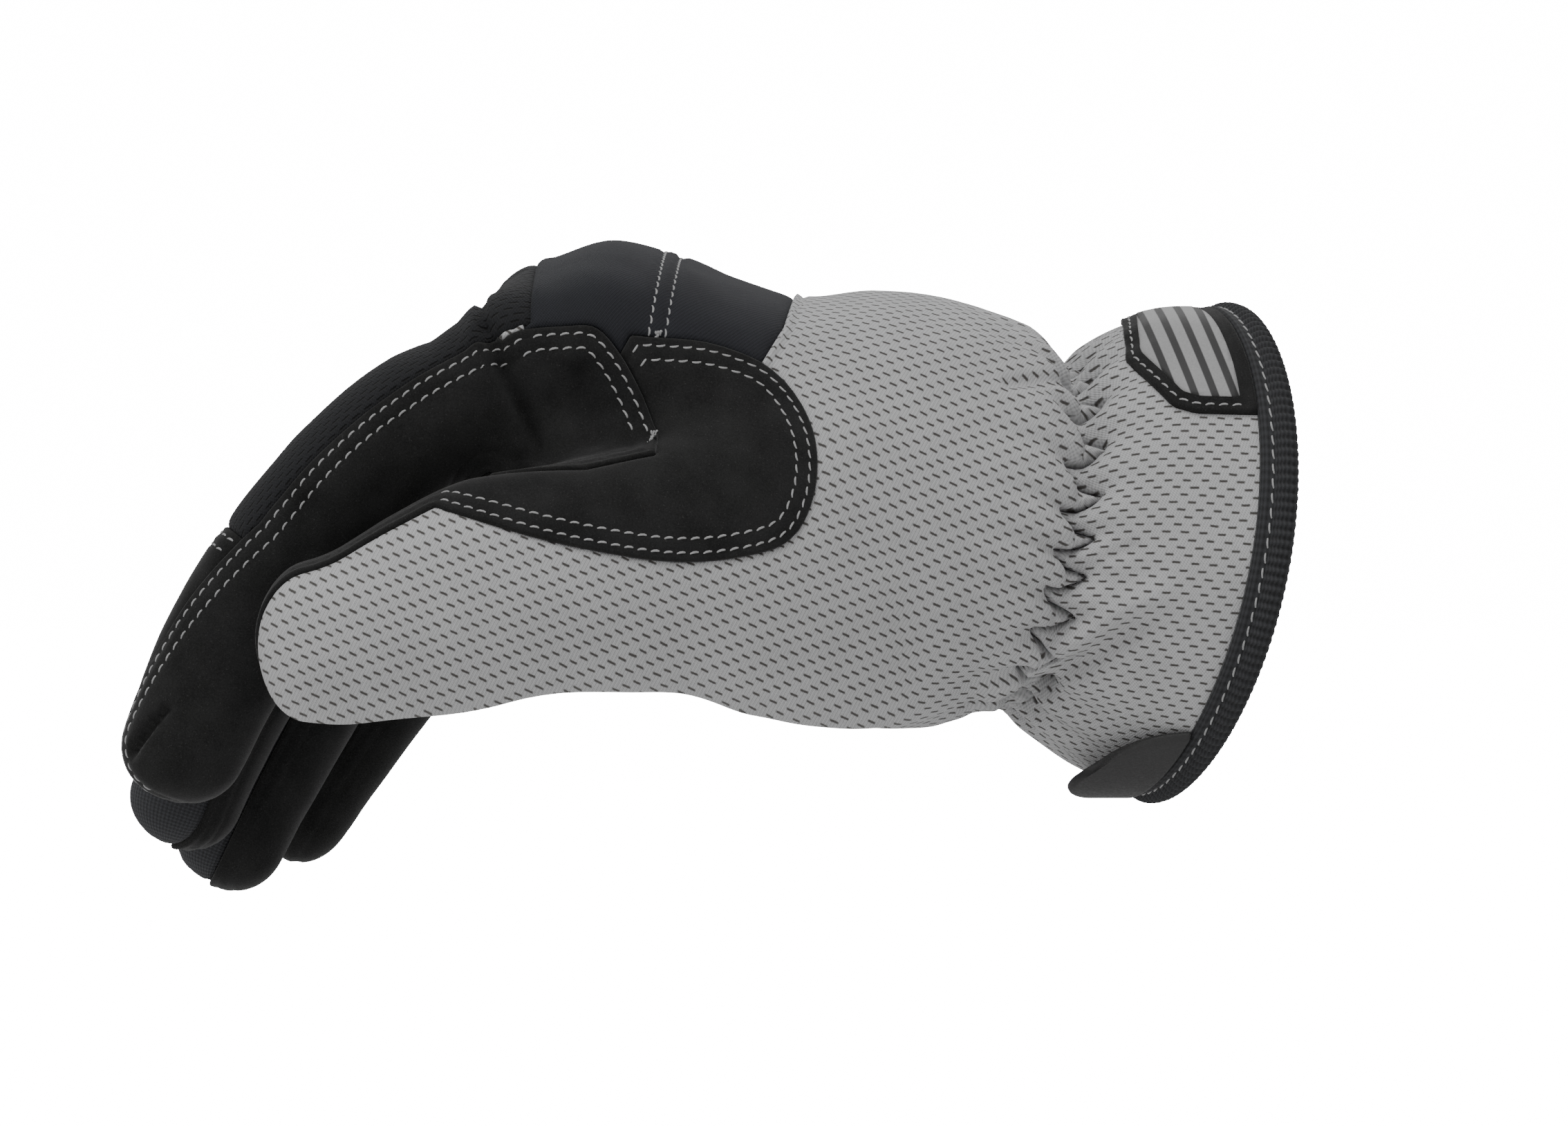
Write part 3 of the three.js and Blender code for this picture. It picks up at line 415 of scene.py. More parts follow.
def surface_nets(values, origin, step):
    """Quads where a grid of values changes sign, one vertex in each cell that the surface crosses."""
    inside = values < 0
    shape = np.array(values.shape) - 1
    corners = [(i, j, k) for i in (0, 1) for j in (0, 1) for k in (0, 1)]
    count = np.zeros(shape, np.int8)
    for i, j, k in corners:
        count += inside[i:i + shape[0], j:j + shape[1], k:k + shape[2]]
    cells = np.argwhere((count > 0) & (count < 8))
    index = np.full(shape, -1, np.int32)
    index[tuple(cells.T)] = np.arange(len(cells))
    total = np.zeros((len(cells), 3))
    crossings = np.zeros(len(cells))
    for a in corners:
        for axis in range(3):
            if a[axis]:
                continue
            b = list(a)
            b[axis] = 1
            va = values[tuple((cells + a).T)]
            vb = values[tuple((cells + b).T)]
            cross = (va < 0) != (vb < 0)
            t = np.where(cross, va / np.where(cross, va - vb, 1), 0)
            total += np.where(cross, 1.0, 0.0)[:, None] * (cells + a + t[:, None] * np.eye(3)[axis])
            crossings += cross
    points = origin + step * total / crossings[:, None]
    quads = []
    for axis in range(3):
        u, v = (axis + 1) % 3, (axis + 2) % 3
        ahead = np.roll(inside, -1, axis)
        for sign in (True, False):
            hits = np.argwhere((inside == sign) & (ahead != sign))
            ok = (hits[:, axis] < shape[axis]) & (hits[:, u] > 0) & (hits[:, v] > 0)
            ok &= (hits[:, u] < shape[u]) & (hits[:, v] < shape[v])
            hits = hits[ok]
            around = []
            for du, dv in ((1, 1), (0, 1), (0, 0), (1, 0)):
                cell = hits.copy()
                cell[:, u] -= du
                cell[:, v] -= dv
                around.append(index[tuple(cell.T)])
            quad = np.stack(around, axis=1)
            quads.append(quad if sign else quad[:, ::-1])
    return points, np.concatenate(quads)


def field_slopes(points):
    slopes = []
    for axis in range(3):
        offset = np.eye(3)[axis] * SLOPE_STEP
        slopes.append(glove_field(*(points + offset).T) - glove_field(*(points - offset).T))
    return np.stack(slopes, axis=1) / (2 * SLOPE_STEP)


def grown_skin():
    """The glove's skin as points and triangles."""
    axes = [np.arange(low, high, CELL) for low, high in zip(GRID_LOW, GRID_HIGH)]
    values = glove_field(*np.meshgrid(*axes, indexing="ij", sparse=True))
    points, quads = surface_nets(values, np.array(GRID_LOW), CELL)
    for _ in range(2):
        slopes = field_slopes(points)
        size = np.maximum(np.linalg.norm(slopes, axis=1), 0.3)
        away = glove_field(*points.T)
        points = points - slopes * (np.clip(away, -0.5, 0.5) / size**2)[:, None]
    first = np.linalg.norm(points[quads[:, 0]] - points[quads[:, 2]], axis=1)
    second = np.linalg.norm(points[quads[:, 1]] - points[quads[:, 3]], axis=1)
    short = first < second
    triangles = np.concatenate([
        quads[short][:, [0, 1, 2]], quads[short][:, [0, 2, 3]],
        quads[~short][:, [1, 2, 3]], quads[~short][:, [1, 3, 0]],
    ])
    return points, triangles


class Skin:
    """Triangles with values carried at their points, so that a cut line gets them too."""

    def __init__(self, points, triangles, values):
        self.points, self.triangles, self.values = points, triangles, values

    def picked(self, keep):
        triangles = self.triangles[keep]
        used, inverse = np.unique(triangles, return_inverse=True)
        values = {name: v[used] for name, v in self.values.items()}
        return Skin(self.points[used], inverse.reshape(-1, 3), values)

    def with_line(self, name, level=0.0):
        """The same skin with an edge wherever the named value passes the level."""
        value = self.values[name] - level
        value = np.where(np.abs(value) < SNAP, 0.0, value)
        carried = self.values | {name: np.where(value == 0, float(level), self.values[name])}
        tri = self.triangles
        sign = np.sign(value)[tri]
        mixed = (sign.min(1) < 0) & (sign.max(1) > 0)
        whole = tri[~mixed]
        cut = tri[mixed]
        s = np.sign(value)[cut]
        # turned so that the first corner is alone on its side, or lies on the line itself
        alone = np.where(
            (s == 0).any(1), (s == 0).argmax(1),
            np.where(s.sum(1) > 0, (s < 0).argmax(1), (s > 0).argmax(1)),
        )
        order = (alone[:, None] + np.arange(3)) % 3
        cut = np.take_along_axis(cut, order, 1)
        on_line = value[cut[:, 0]] == 0
        three, two = cut[~on_line], cut[on_line]
        edges = np.concatenate([three[:, [0, 1]], three[:, [0, 2]], two[:, [1, 2]]])
        keys, inverse = np.unique(np.sort(edges, axis=1), axis=0, return_inverse=True)
        inverse = inverse.reshape(-1) + len(self.points)
        a, b = keys[:, 0], keys[:, 1]
        t = (value[a] / (value[a] - value[b]))[:, None]
        points = np.concatenate([self.points, mix(self.points[a], self.points[b], t)])
        values = {}
        for key, v in carried.items():
            share = t if v.ndim > 1 else t[:, 0]
            values[key] = np.concatenate([v, mix(v[a], v[b], share)])
        values[name][len(self.points):] = level
        n, m = len(three), len(two)
        ab, ac, bc = inverse[:n], inverse[n:2 * n], inverse[2 * n:]
        triangles = np.concatenate([
            whole,
            np.stack([three[:, 0], ab, ac], 1),
            np.stack([ab, three[:, 1], three[:, 2]], 1),
            np.stack([ab, three[:, 2], ac], 1),
            np.stack([two[:, 0], two[:, 1], bc], 1),
            np.stack([two[:, 0], bc, two[:, 2]], 1),
        ])
        return Skin(points, triangles, values)

    def split(self, name):
        """The part where the named value is below 0, and the rest."""
        lined = self.with_line(name)
        below = lined.values[name][lined.triangles].mean(1) < 0
        return lined.picked(below), lined.picked(~below)

    def edge_loops(self):
        """Directed edges with a triangle on one side only."""
        tri = self.triangles
        edges = np.concatenate([tri[:, [0, 1]], tri[:, [1, 2]], tri[:, [2, 0]]])
        sides = np.sort(edges, axis=1)
        _, inverse, counts = np.unique(sides, axis=0, return_inverse=True, return_counts=True)
        return edges[counts[inverse.reshape(-1)] == 1]


def value_noise(points, size, seed):
    """Smooth noise between -1 and 1 at points, with lumps of the given size."""
    side = 16
    lattice = np.random.default_rng(seed).uniform(-1, 1, (side, side, side))
    at = points / size
    low = np.floor(at).astype(int)
    t = at - low
    t = t * t * (3 - 2 * t)
    total = np.zeros(len(points))
    for i in (0, 1):
        for j in (0, 1):
            for k in (0, 1):
                corner = lattice[(low[:, 0] + i) % side, (low[:, 1] + j) % side, (low[:, 2] + k) % side]
                weight = np.abs(1 - i - t[:, 0]) * np.abs(1 - j - t[:, 1]) * np.abs(1 - k - t[:, 2])
                total += corner * weight
    return total


def line_distance(line, a, b):
    """Distance in a plane to an open line, and how far along the line its nearest point is, from 0 to 1."""
    best = np.full(np.shape(a), 1e9)
    share = np.zeros(np.shape(a))
    line = np.array(line, float)
    lengths = np.concatenate([[0], np.cumsum(np.linalg.norm(np.diff(line, axis=0), axis=1))])
    for k, (p, q) in enumerate(zip(line[:-1], line[1:])):
        edge = q - p
        t = np.clip(((a - p[0]) * edge[0] + (b - p[1]) * edge[1]) / (edge @ edge), 0, 1)
        gap = np.hypot(a - p[0] - t * edge[0], b - p[1] - t * edge[1])
        closer = gap < best
        best = np.where(closer, gap, best)
        share = np.where(closer, (lengths[k] + t * (lengths[k + 1] - lengths[k])) / lengths[-1], share)
    return best, share


def outline_distance(outline, a, b):
    """Distance in a plane outside a closed outline, below 0 inside it."""
    outline = np.array(outline, float)
    best, _ = line_distance(np.vstack([outline, outline[:1]]), a, b)
    inside = np.zeros(np.shape(a), bool)
    for p, q in zip(outline, np.roll(outline, -1, axis=0)):
        rise = q[1] - p[1]
        crosses = (p[1] > b) != (q[1] > b)
        inside ^= crosses & (a < p[0] + (b - p[1]) * (q[0] - p[0]) / (rise if rise else 1e-9))
    return np.where(inside, -best, best)


def every(*values):
    """Inside all the regions."""
    return np.maximum.reduce(np.broadcast_arrays(*values))


def any_of(*values):
    """Inside one of the regions at least."""
    return np.minimum.reduce(np.broadcast_arrays(*values))


# Cutting regions, as values that are below 0 inside the region
SIDE_REACH = FINGER_SPACING / 2 + 1
OUTER_REACH = 14
PALM_REACH = FINGER_SPACING * 0.585
THUMB_FRONT_MIDDLE = 147  # degrees round the thumb
THUMB_FRONT_HALF = 85
THUMB_FRONT_START = 0.4  # share of THUMB_REACH
THUMB_FRONT_REACH = 1.28  # share of the thumb's half depth
HOLLOW_LOW = (-140, -60, -12)  # the hollow between the thumb and the palm is all thumb suede
HOLLOW_HIGH = (-97, -20, 20)


TIP_CLIMB = 56  # degrees by which the near seams climb towards the back at a fingertip
CLIMB_START = 0.6  # share of the finger's length
CLIMB_LENGTH = 0.35


def finger_reach(finger, across):
    near_reach = OUTER_REACH if finger["name"] == "index" else SIDE_REACH
    far_reach = OUTER_REACH if finger["name"] == "little" else SIDE_REACH
    return np.abs(across) - np.where(across < 0, near_reach, far_reach)


def tip_climb(finger, along):
    return TIP_CLIMB * np.clip((along / finger["length"] - CLIMB_START) / CLIMB_LENGTH, 0, 1)


def finger_palm(finger, c):
    along, across, up = c[finger["name"]]
    climb = tip_climb(finger, along) if finger["name"] == "index" else 0
    seam = np.radians(np.where(across < 0, finger["near"] - climb, finger["far"]))
    start = INDEX_PALM_START if finger["name"] == "index" else FINGER_START
    below = up * np.cos(seam) + np.abs(across) * np.sin(seam)
    return every(below, finger_reach(finger, across), -PALM_REACH - up, start * finger["length"] - along)


def finger_back(finger, c, start):
    along, across, up = c[finger["name"]]
    seam = np.radians(BACK_SEAM + np.where(across < 0, tip_climb(finger, along), 0))
    above = np.abs(across) * np.sin(seam) - up * np.cos(seam)
    return every(above, finger_reach(finger, across), start * finger["length"] - along)


def strip_side(finger, c, side, seam_name):
    along, across, up = c[finger["name"]]
    across = across * side
    climb = tip_climb(finger, along) if seam_name == "near" else 0
    top, low = np.radians(BACK_SEAM + climb), math.radians(finger[seam_name])
    below_back = up * np.cos(top) - across * np.sin(top)
    above_palm = -up * math.cos(low) - across * math.sin(low)
    before = FINGER_START * finger["length"] - along
    return every(-across, below_back, above_palm, across - OUTER_REACH, before)


def palm_region(c):
    x, y, z = c["x"], c["y"], c["z"]
    seam = smooth_line([(WRIST_X - a * HAND_LENGTH, b * HAND_WIDTH) for a, b in PALM_ROWS], 12)
    front = WRIST_X - PALM_FRONT * HAND_LENGTH
    outline = [*seam, (front, -PALM_SIDE * HAND_WIDTH), (front, FAR_OUT), (seam[0][0], FAR_OUT)]
    side = smooth_line([(WRIST_X - a * HAND_LENGTH, b * HAND_DEPTH) for a, b in ULNAR_ROWS], 8)
    low = [*side, (-2 * FAR_OUT, side[-1][1]), (-2 * FAR_OUT, -FAR_OUT)]
    low += [(FAR_OUT, -FAR_OUT), (FAR_OUT, side[0][1])]
    underside = every(
        outline_distance(outline, x, y),
        z - SADDLE_TOP * PALM_TOP,
        any_of(outline_distance(low, x, z), y - 1),
    )
    edge = [(WEB_BACK - a * WEB_LENGTH, WEB_TOP - (1 - b) * WEB_HEIGHT) for a, b in WEB_ROWS]
    web_outline = [*smooth_line(edge, 24), *WEB_FOOT]
    web = every(outline_distance(web_outline, x, z), y + PALM_SIDE * HAND_WIDTH, -PANEL_NEAR * HAND_WIDTH - y)
    return any_of(underside, web, *[finger_palm(finger, c) for finger in FINGERS])


def saddle_region(c):
    edge = smooth_line([(SADDLE_END - a * SADDLE_LENGTH, SADDLE_TOP - (1 - b) * SADDLE_HEIGHT)
                        for a, b in SADDLE_ROWS], 48)
    shoulder = SADDLE_TOP - SADDLE_HEIGHT / 2
    outline = [*edge, (SADDLE_END - SADDLE_LENGTH, shoulder), (edge[0][0] - SADDLE_LENGTH / 6, shoulder)]
    return every(outline_distance(outline, c["x"], c["z"]), c["y"] + SADDLE_INNER * HAND_WIDTH)


def thumb_region(c):
    at, across, up, half_width, half_depth = c["thumb"]
    whole_turn = 360
    angle = np.degrees(np.arctan2(up / half_depth, -across / half_width)) % whole_turn
    size = np.hypot(across / half_width, up / half_depth)
    front = every(
        np.radians(np.abs(angle - THUMB_FRONT_MIDDLE) - THUMB_FRONT_HALF) * half_depth,
        (THUMB_FRONT_START - at) * THUMB_REACH,
        (size - THUMB_FRONT_REACH) * half_depth,
    )
    sides = zip("xyz", HOLLOW_LOW, HOLLOW_HIGH)
    hollow = every(*[np.maximum(c[axis] - high, low - c[axis]) for axis, low, high in sides])
    return any_of(saddle_region(c), front, hollow)


def knuckle_region(c):
    back = KNUCKLE_FRONT + KNUCKLE_LENGTH
    top = back + KNUCKLE_SKEW * WEB_TOP * KNUCKLE_TOP_SKEW
    outline = [(KNUCKLE_FRONT - 1, FAR_OUT), (KNUCKLE_FRONT - 1, 0), (back - KNUCKLE_SKEW * WEB_TOP, 0),
               (back, WEB_TOP), (top, WEB_TOP * 2), (top, FAR_OUT)]
    return every(outline_distance(outline, c["x"], c["z"]), -PANEL_NEAR * HAND_WIDTH - c["y"])


def patch_region(c):
    foot = WRIST_TOP * PATCH_FOOT
    outline = [(PATCH_START - a * PATCH_LENGTH, foot + b * PATCH_HEIGHT + (CUFF_DEPTH / 4 if b == 1 else 0))
               for a, b in PATCH_ROWS]
    return every(
        outline_distance(outline, c["x"], c["z"]), c["y"] - PATCH_FAR_EDGE, c["place"] + TAPE_WIDTH - 0.2,
        -c["z"],
    )


def coordinates(points):
    """Every coordinate that the regions, the relief and the weaves are read from."""
    x, y, z = points.T
    place, dy, dz, half_width, half_depth, square = body_round(x, y, z)
    c = {"x": x, "y": y, "z": z, "place": place, "turn": np.arctan2(dz / half_depth, -dy / half_width)}
    c["off_body"] = body_field(x, y, z)
    c["thumb"] = round_thumb(x, y, z)
    c["off_thumb"] = thumb_field(x, y, z)
    for finger in FINGERS:
        c[finger["name"]] = round_finger(finger, x, y, z)
        c["off_" + finger["name"]] = finger_field(finger, x, y, z)
    return c


# Relief of the worn cloth

GATHER_COUNT = 24
GATHER_SWAY = 2.3  # the drawn-in line wanders this far to either side
GATHER_POINT = 0.86  # towards 1 its turns get sharper
GATHER_REACH = 8  # the lines that the skin is cut along stay this near to it
GATHER_LINES = (-2.4, -1.1, -0.45, 0.0, 0.45, 1.1, 2.4)
OVER = dict(height=2.5, reach=7)  # lobes of the hand's cloth over the line
BEHIND = dict(height=1.7, reach=5)  # lobes of the cuff's cloth behind it
LOBE_ROUND = 0.9
CREASE = dict(depth=1.9, width=0.65)
HOLLOW = dict(depth=1.1, width=4)
HEEL = dict(depth=2.8, width=10)
PLEAT = 0.14

# Folds on the thumb side. rise is how far a fold stands out, or sinks in below 0, width its half width, start
# the place across the hand from which it shows, and line its course seen from the thumb side.
FOLDS = [
    dict(rise=2.3, width=2.7, start=-4,
         line=[(-39, -26), (-34, -21.5), (-28.4, -16.9), (-14.8, -9.1), (-8, -4)]),
    dict(rise=-2.6, width=2.3, start=-4,
         line=[(-35, -25.5), (-31, -23), (-24.9, -19.1), (-19.5, -14.9), (-11, -8.6)]),
    dict(rise=-1.2, width=1.4, start=-4, line=[(-25.5, -2.5), (-20, -0.5), (-14, 1.6)]),
    dict(rise=-1.3, width=1.2, start=-4, line=[(-37, 29.4), (-31, 30), (-27.3, 29.5), (-24.6, 26.8)]),
    dict(rise=1.0, width=1.5, start=-28,
         line=[(-128.6, 37), (-126.1, 30), (-123.5, 25.2), (-120.9, 18.9), (-118.6, 13)]),
    dict(rise=-2.3, width=1.6, start=-28,
         line=[(-126.2, 37), (-123.4, 30), (-120.8, 25.2), (-118.2, 18.9), (-116, 13)]),
    dict(rise=-1.5, width=2.6, start=-28, line=[(-110, 30), (-108.6, 21), (-107, 12)]),
    dict(rise=-1.8, width=0.9, start=-24, line=[(-127.4, 43.5), (-127, 40), (-126.4, 36.8)]),
    dict(rise=-1.9, width=0.7, start=-28, line=[(-186.4, -34), (-183.2, -29.6), (-179, -25)]),
    dict(rise=-0.9, width=3.2, start=-28, line=[(-140, 24), (-141.5, 14), (-146, 6)]),
    dict(rise=-0.8, width=2.6, start=-28, line=[(-158, 8), (-157, 0), (-160, -8)]),
]
FOLD_FADE = 10  # across the hand, a fold comes up over this distance
OFF_THUMB = -20  # folds that start past this keep clear of the thumb
CREASING = dict(height=0.4, lump=17)
RUMPLING = dict(height=0.16, lump=7)

# How far the finger backs stand up before the knuckle seam, along the arm
BASE_STEP = [(-143, 0.0), (-137, -1.5), (-132, -0.6), (-127.5, 1.9), (-123, 2.4), (-119.2, 0.6), (-116, 0.0)]
BASE_LEVELS = (30, 40)  # it comes up between these heights


def bell(gap, depth, width):
    return depth * np.exp(-((gap / width) ** 2))


def gather_wave(turn):
    """From -1 where the line leans to the hand to 1 where it leans to the cuff."""
    phase = GATHER_COUNT * turn + 0.9 * np.sin(3 * turn + 1) + 0.5 * np.sin(5 * turn)
    return np.arcsin(GATHER_POINT * np.sin(phase)) / math.asin(GATHER_POINT)


def gather_offset(c):
    return c["place"] - WRIST_X - GATHER_SWAY * gather_wave(c["turn"])


def gather_relief(c, points):
    """The hand's cloth bulges over the drawn-in line in lobes, and the cuff's lies lower behind it."""
    offset = gather_offset(c)
    wave = gather_wave(c["turn"])
    away = np.abs(offset)
    over = OVER["height"] * (0.1 + 0.9 * smooth_step(-1, 0.5, wave)) * np.exp(-away / OVER["reach"])
    behind = BEHIND["height"] * smooth_step(0.4, -1, wave) * np.exp(-away / BEHIND["reach"])
    uneven = 1 + 0.3 * value_noise(points, 9, 3)
    lobes = np.where(offset < 0, over, behind) * (1 - np.exp(-away / LOBE_ROUND)) * uneven
    under = smooth_step(-0.5, -1, np.sin(c["turn"]))
    sunk = bell(offset, **CREASE) + bell(offset, **HOLLOW) + under * bell(offset, **HEEL)
    pleats = np.cos(4 * GATHER_COUNT * c["turn"] + 2 * value_noise(points, 6, 4))
    return lobes - sunk + PLEAT * pleats * np.exp(-away / 4) * smooth_step(0, 1, away)


def finger_base(c):
    """The finger backs stand up in a step just before the knuckle seam."""
    step = np.interp(c["x"], *np.array(BASE_STEP).T)
    return step * smooth_step(*BASE_LEVELS, c["z"])


def relief(c, points):
    """How far the worn cloth stands out from the plain form."""
    height = gather_relief(c, points) + knuckle_pads(c) + finger_base(c)
    for fold in FOLDS:
        gap, along = line_distance(fold["line"], c["x"], c["z"])
        start = fold["start"]
        shows = smooth_step(start, start - FOLD_FADE, c["y"]) * smooth_step(1.02, 0.75, along)
        if start < OFF_THUMB:
            shows = shows * smooth_step(1, 4, c["off_thumb"])
        height += shows * bell(gap, fold["rise"], fold["width"])
    large = CREASING["height"] * value_noise(points, CREASING["lump"], 5)
    small = RUMPLING["height"] * value_noise(points, RUMPLING["lump"], 6)
    return height + large + small


PAD_ROWS = (-98.6, -95.8)  # the two stitch rows across the knuckles, at the height of the web's top
PAD_LEAN = 0.16
PAD_RISE = 0.3
PAD_SINK = 0.7
CHANNEL = dict(depth=0.6, width=0.8)


def pad_place(c):
    return c["x"] - PAD_LEAN * (c["z"] - WEB_TOP)


def knuckle_pads(c):
    """Padding across the knuckles, with the stitched channel in it."""
    place = pad_place(c)
    back = KNUCKLE_FRONT + KNUCKLE_LENGTH
    first = 1 - np.abs((place - (KNUCKLE_FRONT + PAD_ROWS[0]) / 2) / ((PAD_ROWS[0] - KNUCKLE_FRONT) / 2)) ** 4
    second = 1 - np.abs((place - (back + PAD_ROWS[1]) / 2) / ((back - PAD_ROWS[1]) / 2)) ** 4
    up = smooth_step(0.1, 0.6, np.sin(c["turn"])) * (c["off_body"] < 4)
    channel = sum(bell(place - row, **CHANNEL) for row in PAD_ROWS)
    return up * (PAD_RISE * np.clip(second, 0, 1) - PAD_SINK * np.sqrt(np.clip(first, 0, 1)) - channel)


ARC_COUNT = 241


def arc_lengths():
    """Length of cloth round the hand from the middle of the thumb side, over place and turn."""
    places = BODY["x"][::8]
    turns = np.linspace(-np.pi, np.pi, ARC_COUNT)
    lengths = []
    for place in places:
        half_width = (body_value(place, "far") - body_value(place, "near")) / 2
        half_depth = (body_value(place, "top") - body_value(place, "bottom")) / 2
        square = body_value(place, "square")
        size = (np.abs(np.cos(turns)) ** square + np.abs(np.sin(turns)) ** square) ** (-1 / square)
        line = np.stack([half_width * size * np.cos(turns), half_depth * size * np.sin(turns)], axis=1)
        arc = np.concatenate([[0], np.cumsum(np.linalg.norm(np.diff(line, axis=0), axis=1))])
        lengths.append(arc - arc[len(turns) // 2])
    return places, turns, np.array(lengths)


ARC_PLACES, ARC_TURNS, ARC_LENGTHS = arc_lengths()


def arc_at(place, turn):
    i = np.clip(np.interp(place, ARC_PLACES, np.arange(len(ARC_PLACES))), 0, len(ARC_PLACES) - 1.001)
    j = np.clip(np.interp(turn, ARC_TURNS, np.arange(len(ARC_TURNS))), 0, len(ARC_TURNS) - 1.001)
    i0, j0 = i.astype(int), j.astype(int)
    low = mix(ARC_LENGTHS[i0, j0], ARC_LENGTHS[i0, j0 + 1], j - j0)
    high = mix(ARC_LENGTHS[i0 + 1, j0], ARC_LENGTHS[i0 + 1, j0 + 1], j - j0)
    return mix(low, high, i - i0)


GRAIN_HAND = math.radians(-25)  # slope of the knit's rows on the thumb side of the hand
HAND_STRETCH = 0.96
HAND_SHEAR = 0.3  # how far the mesh slips along its rows for each millimetre across them
CUFF_STRETCH = 1.07
CUFF_RADIUS = 36
FINGER_RADIUS = 11
FINGER_APART = 40  # keeps one finger's cloth coordinates off the next one's
WEAVE_UNIT = 0.01  # a millimetre in the UV map


def body_weave(c, cuff):
    """Cloth coordinates of the hand or of the cuff, in millimetres."""
    middle = (body_value(c["place"], "top") + body_value(c["place"], "bottom")) / 2
    arc = arc_at(c["place"], c["turn"]) + middle
    if cuff:
        return np.stack([CUFF_STRETCH * c["place"], (arc + CUFF_RADIUS * c["turn"]) / 2], axis=1)
    on_thumb = smooth_step(1, 8, c["off_body"])
    v = mix(arc, c["z"], on_thumb)
    u = c["x"]
    along = u * math.cos(GRAIN_HAND) + v * math.sin(GRAIN_HAND)
    rows = v * math.cos(GRAIN_HAND) - u * math.sin(GRAIN_HAND)
    return np.stack([HAND_STRETCH * along + HAND_SHEAR * rows, HAND_STRETCH * rows], axis=1)


def knuckle_weave(c):
    return np.stack([c["x"], arc_at(c["place"], c["turn"])], axis=1)


def finger_weave(c):
    """Cloth coordinates along and round the nearest finger."""
    away = np.stack([np.abs(c[finger["name"]][1]) for finger in FINGERS])
    nearest = away.argmin(0)
    along, across, up = (np.choose(nearest, [c[f["name"]][k] for f in FINGERS]) for k in range(3))
    return np.stack([along, FINGER_RADIUS * np.arctan2(across, up) + FINGER_APART * nearest], axis=1)


# Cloth is cut from the skin

def edge_profile(depth, radius):
    """From 0 at a cut edge to 1 a radius inside it, on a quarter circle."""
    t = np.clip(depth / radius, 0, 1)
    return np.sqrt(1 - (1 - t) ** 2)


def suede_height(depth, covered, under=0.1, dip=0.8, reach=1.3):
    """Suede stands proud with a rounded cut edge, and runs lower where another panel lies over it."""
    return SUEDE_RAISE * edge_profile(depth, EDGE_ROUND) - under - dip * np.exp(-covered / reach)


def cap_height(depth, covered, dip=0.9, reach=2.2):
    """The fingertip caps dip towards their first seam, where the knit bulges over it."""
    return suede_height(depth, covered) - dip * np.exp(-depth / reach)


def knit_height(depth, covered, dip=0.75, reach=0.7):
    """Knit is sewn edge to edge and sinks into its seams."""
    return -dip * np.exp(-depth / reach) - dip * np.exp(-covered / reach)


def grey_height(depth, covered, hem=0.7, hem_round=0.6, hem_reach=2, row=1.6, dip=0.35, reach=0.9):
    """The grey knit is turned under at its hem over the knuckles, and sinks under the suede."""
    turned = hem * edge_profile(depth, hem_round) * np.exp(-depth / hem_reach)
    return turned - bell(depth - row, 0.45, 0.5) - dip * np.exp(-covered / reach)


def groove(depth, level, sink=0.22, half_width=0.55):
    return -bell(depth - level, sink, half_width)


def mesh_object(name, points, faces, material):
    """A mesh object from points in millimetres and faces, all triangles or all quads."""
    faces = np.asarray(faces)
    mesh = bpy.data.meshes.new(name)
    mesh.vertices.add(len(points))
    mesh.vertices.foreach_set("co", (np.asarray(points) * MM).astype(np.float32).ravel())
    count, corners = faces.shape
    mesh.loops.add(count * corners)
    mesh.loops.foreach_set("vertex_index", faces.astype(np.int32).ravel())
    mesh.polygons.add(count)
    mesh.polygons.foreach_set("loop_start", np.arange(count, dtype=np.int32) * corners)
    mesh.update(calc_edges=True)
    mesh.validate()
    mesh.polygons.foreach_set("use_smooth", np.ones(len(mesh.polygons), bool))
    mesh.materials.append(material)
    piece = bpy.data.objects.new(name, mesh)
    bpy.context.scene.collection.objects.link(piece)
    return piece


def add_weave(piece, weave, wrap=None):
    """Cloth coordinates as a UV map, in hundreds of millimetres. wrap is the way round, where it closes."""
    mesh = piece.data
    corner = np.zeros(len(mesh.loops), np.int32)
    mesh.loops.foreach_get("vertex_index", corner)
    uv = weave[corner].copy()
    if wrap is not None:
        first = np.repeat(uv[::3, 1], 3)
        uv[:, 1] -= wrap * np.round((uv[:, 1] - first) / wrap)
    layer = mesh.uv_layers.new(name="weave")
    layer.data.foreach_set("uv", (uv * WEAVE_UNIT).astype(np.float32).ravel())


def belongs(piece, slot, *nodes):
    """The piece rides on the glove and stands for its solids, which are hidden; slot is not used."""
    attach(piece, "root")
    if nodes:
        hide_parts(*nodes)
    return piece


def thick_piece(name, skin, height, material, wall=KNIT_WALL):
    """A closed sheet of cloth: the skin raised by its height, its inner side, and the edge between them."""
    v = skin.values
    outer = skin.points + v["normal"] * (v["relief"] + height)[:, None]
    inner = skin.points + v["normal"] * (0.8 * v["relief"] - wall)[:, None]
    count = len(outer)
    tri = skin.triangles
    edges = skin.edge_loops()
    a, b = edges[:, 0], edges[:, 1]
    rim = np.concatenate([np.stack([b, a, a + count], 1), np.stack([b, a + count, b + count], 1)])
    faces = np.concatenate([tri, tri[:, ::-1] + count, rim])
    return mesh_object(name, np.concatenate([outer, inner]), faces, material), outer


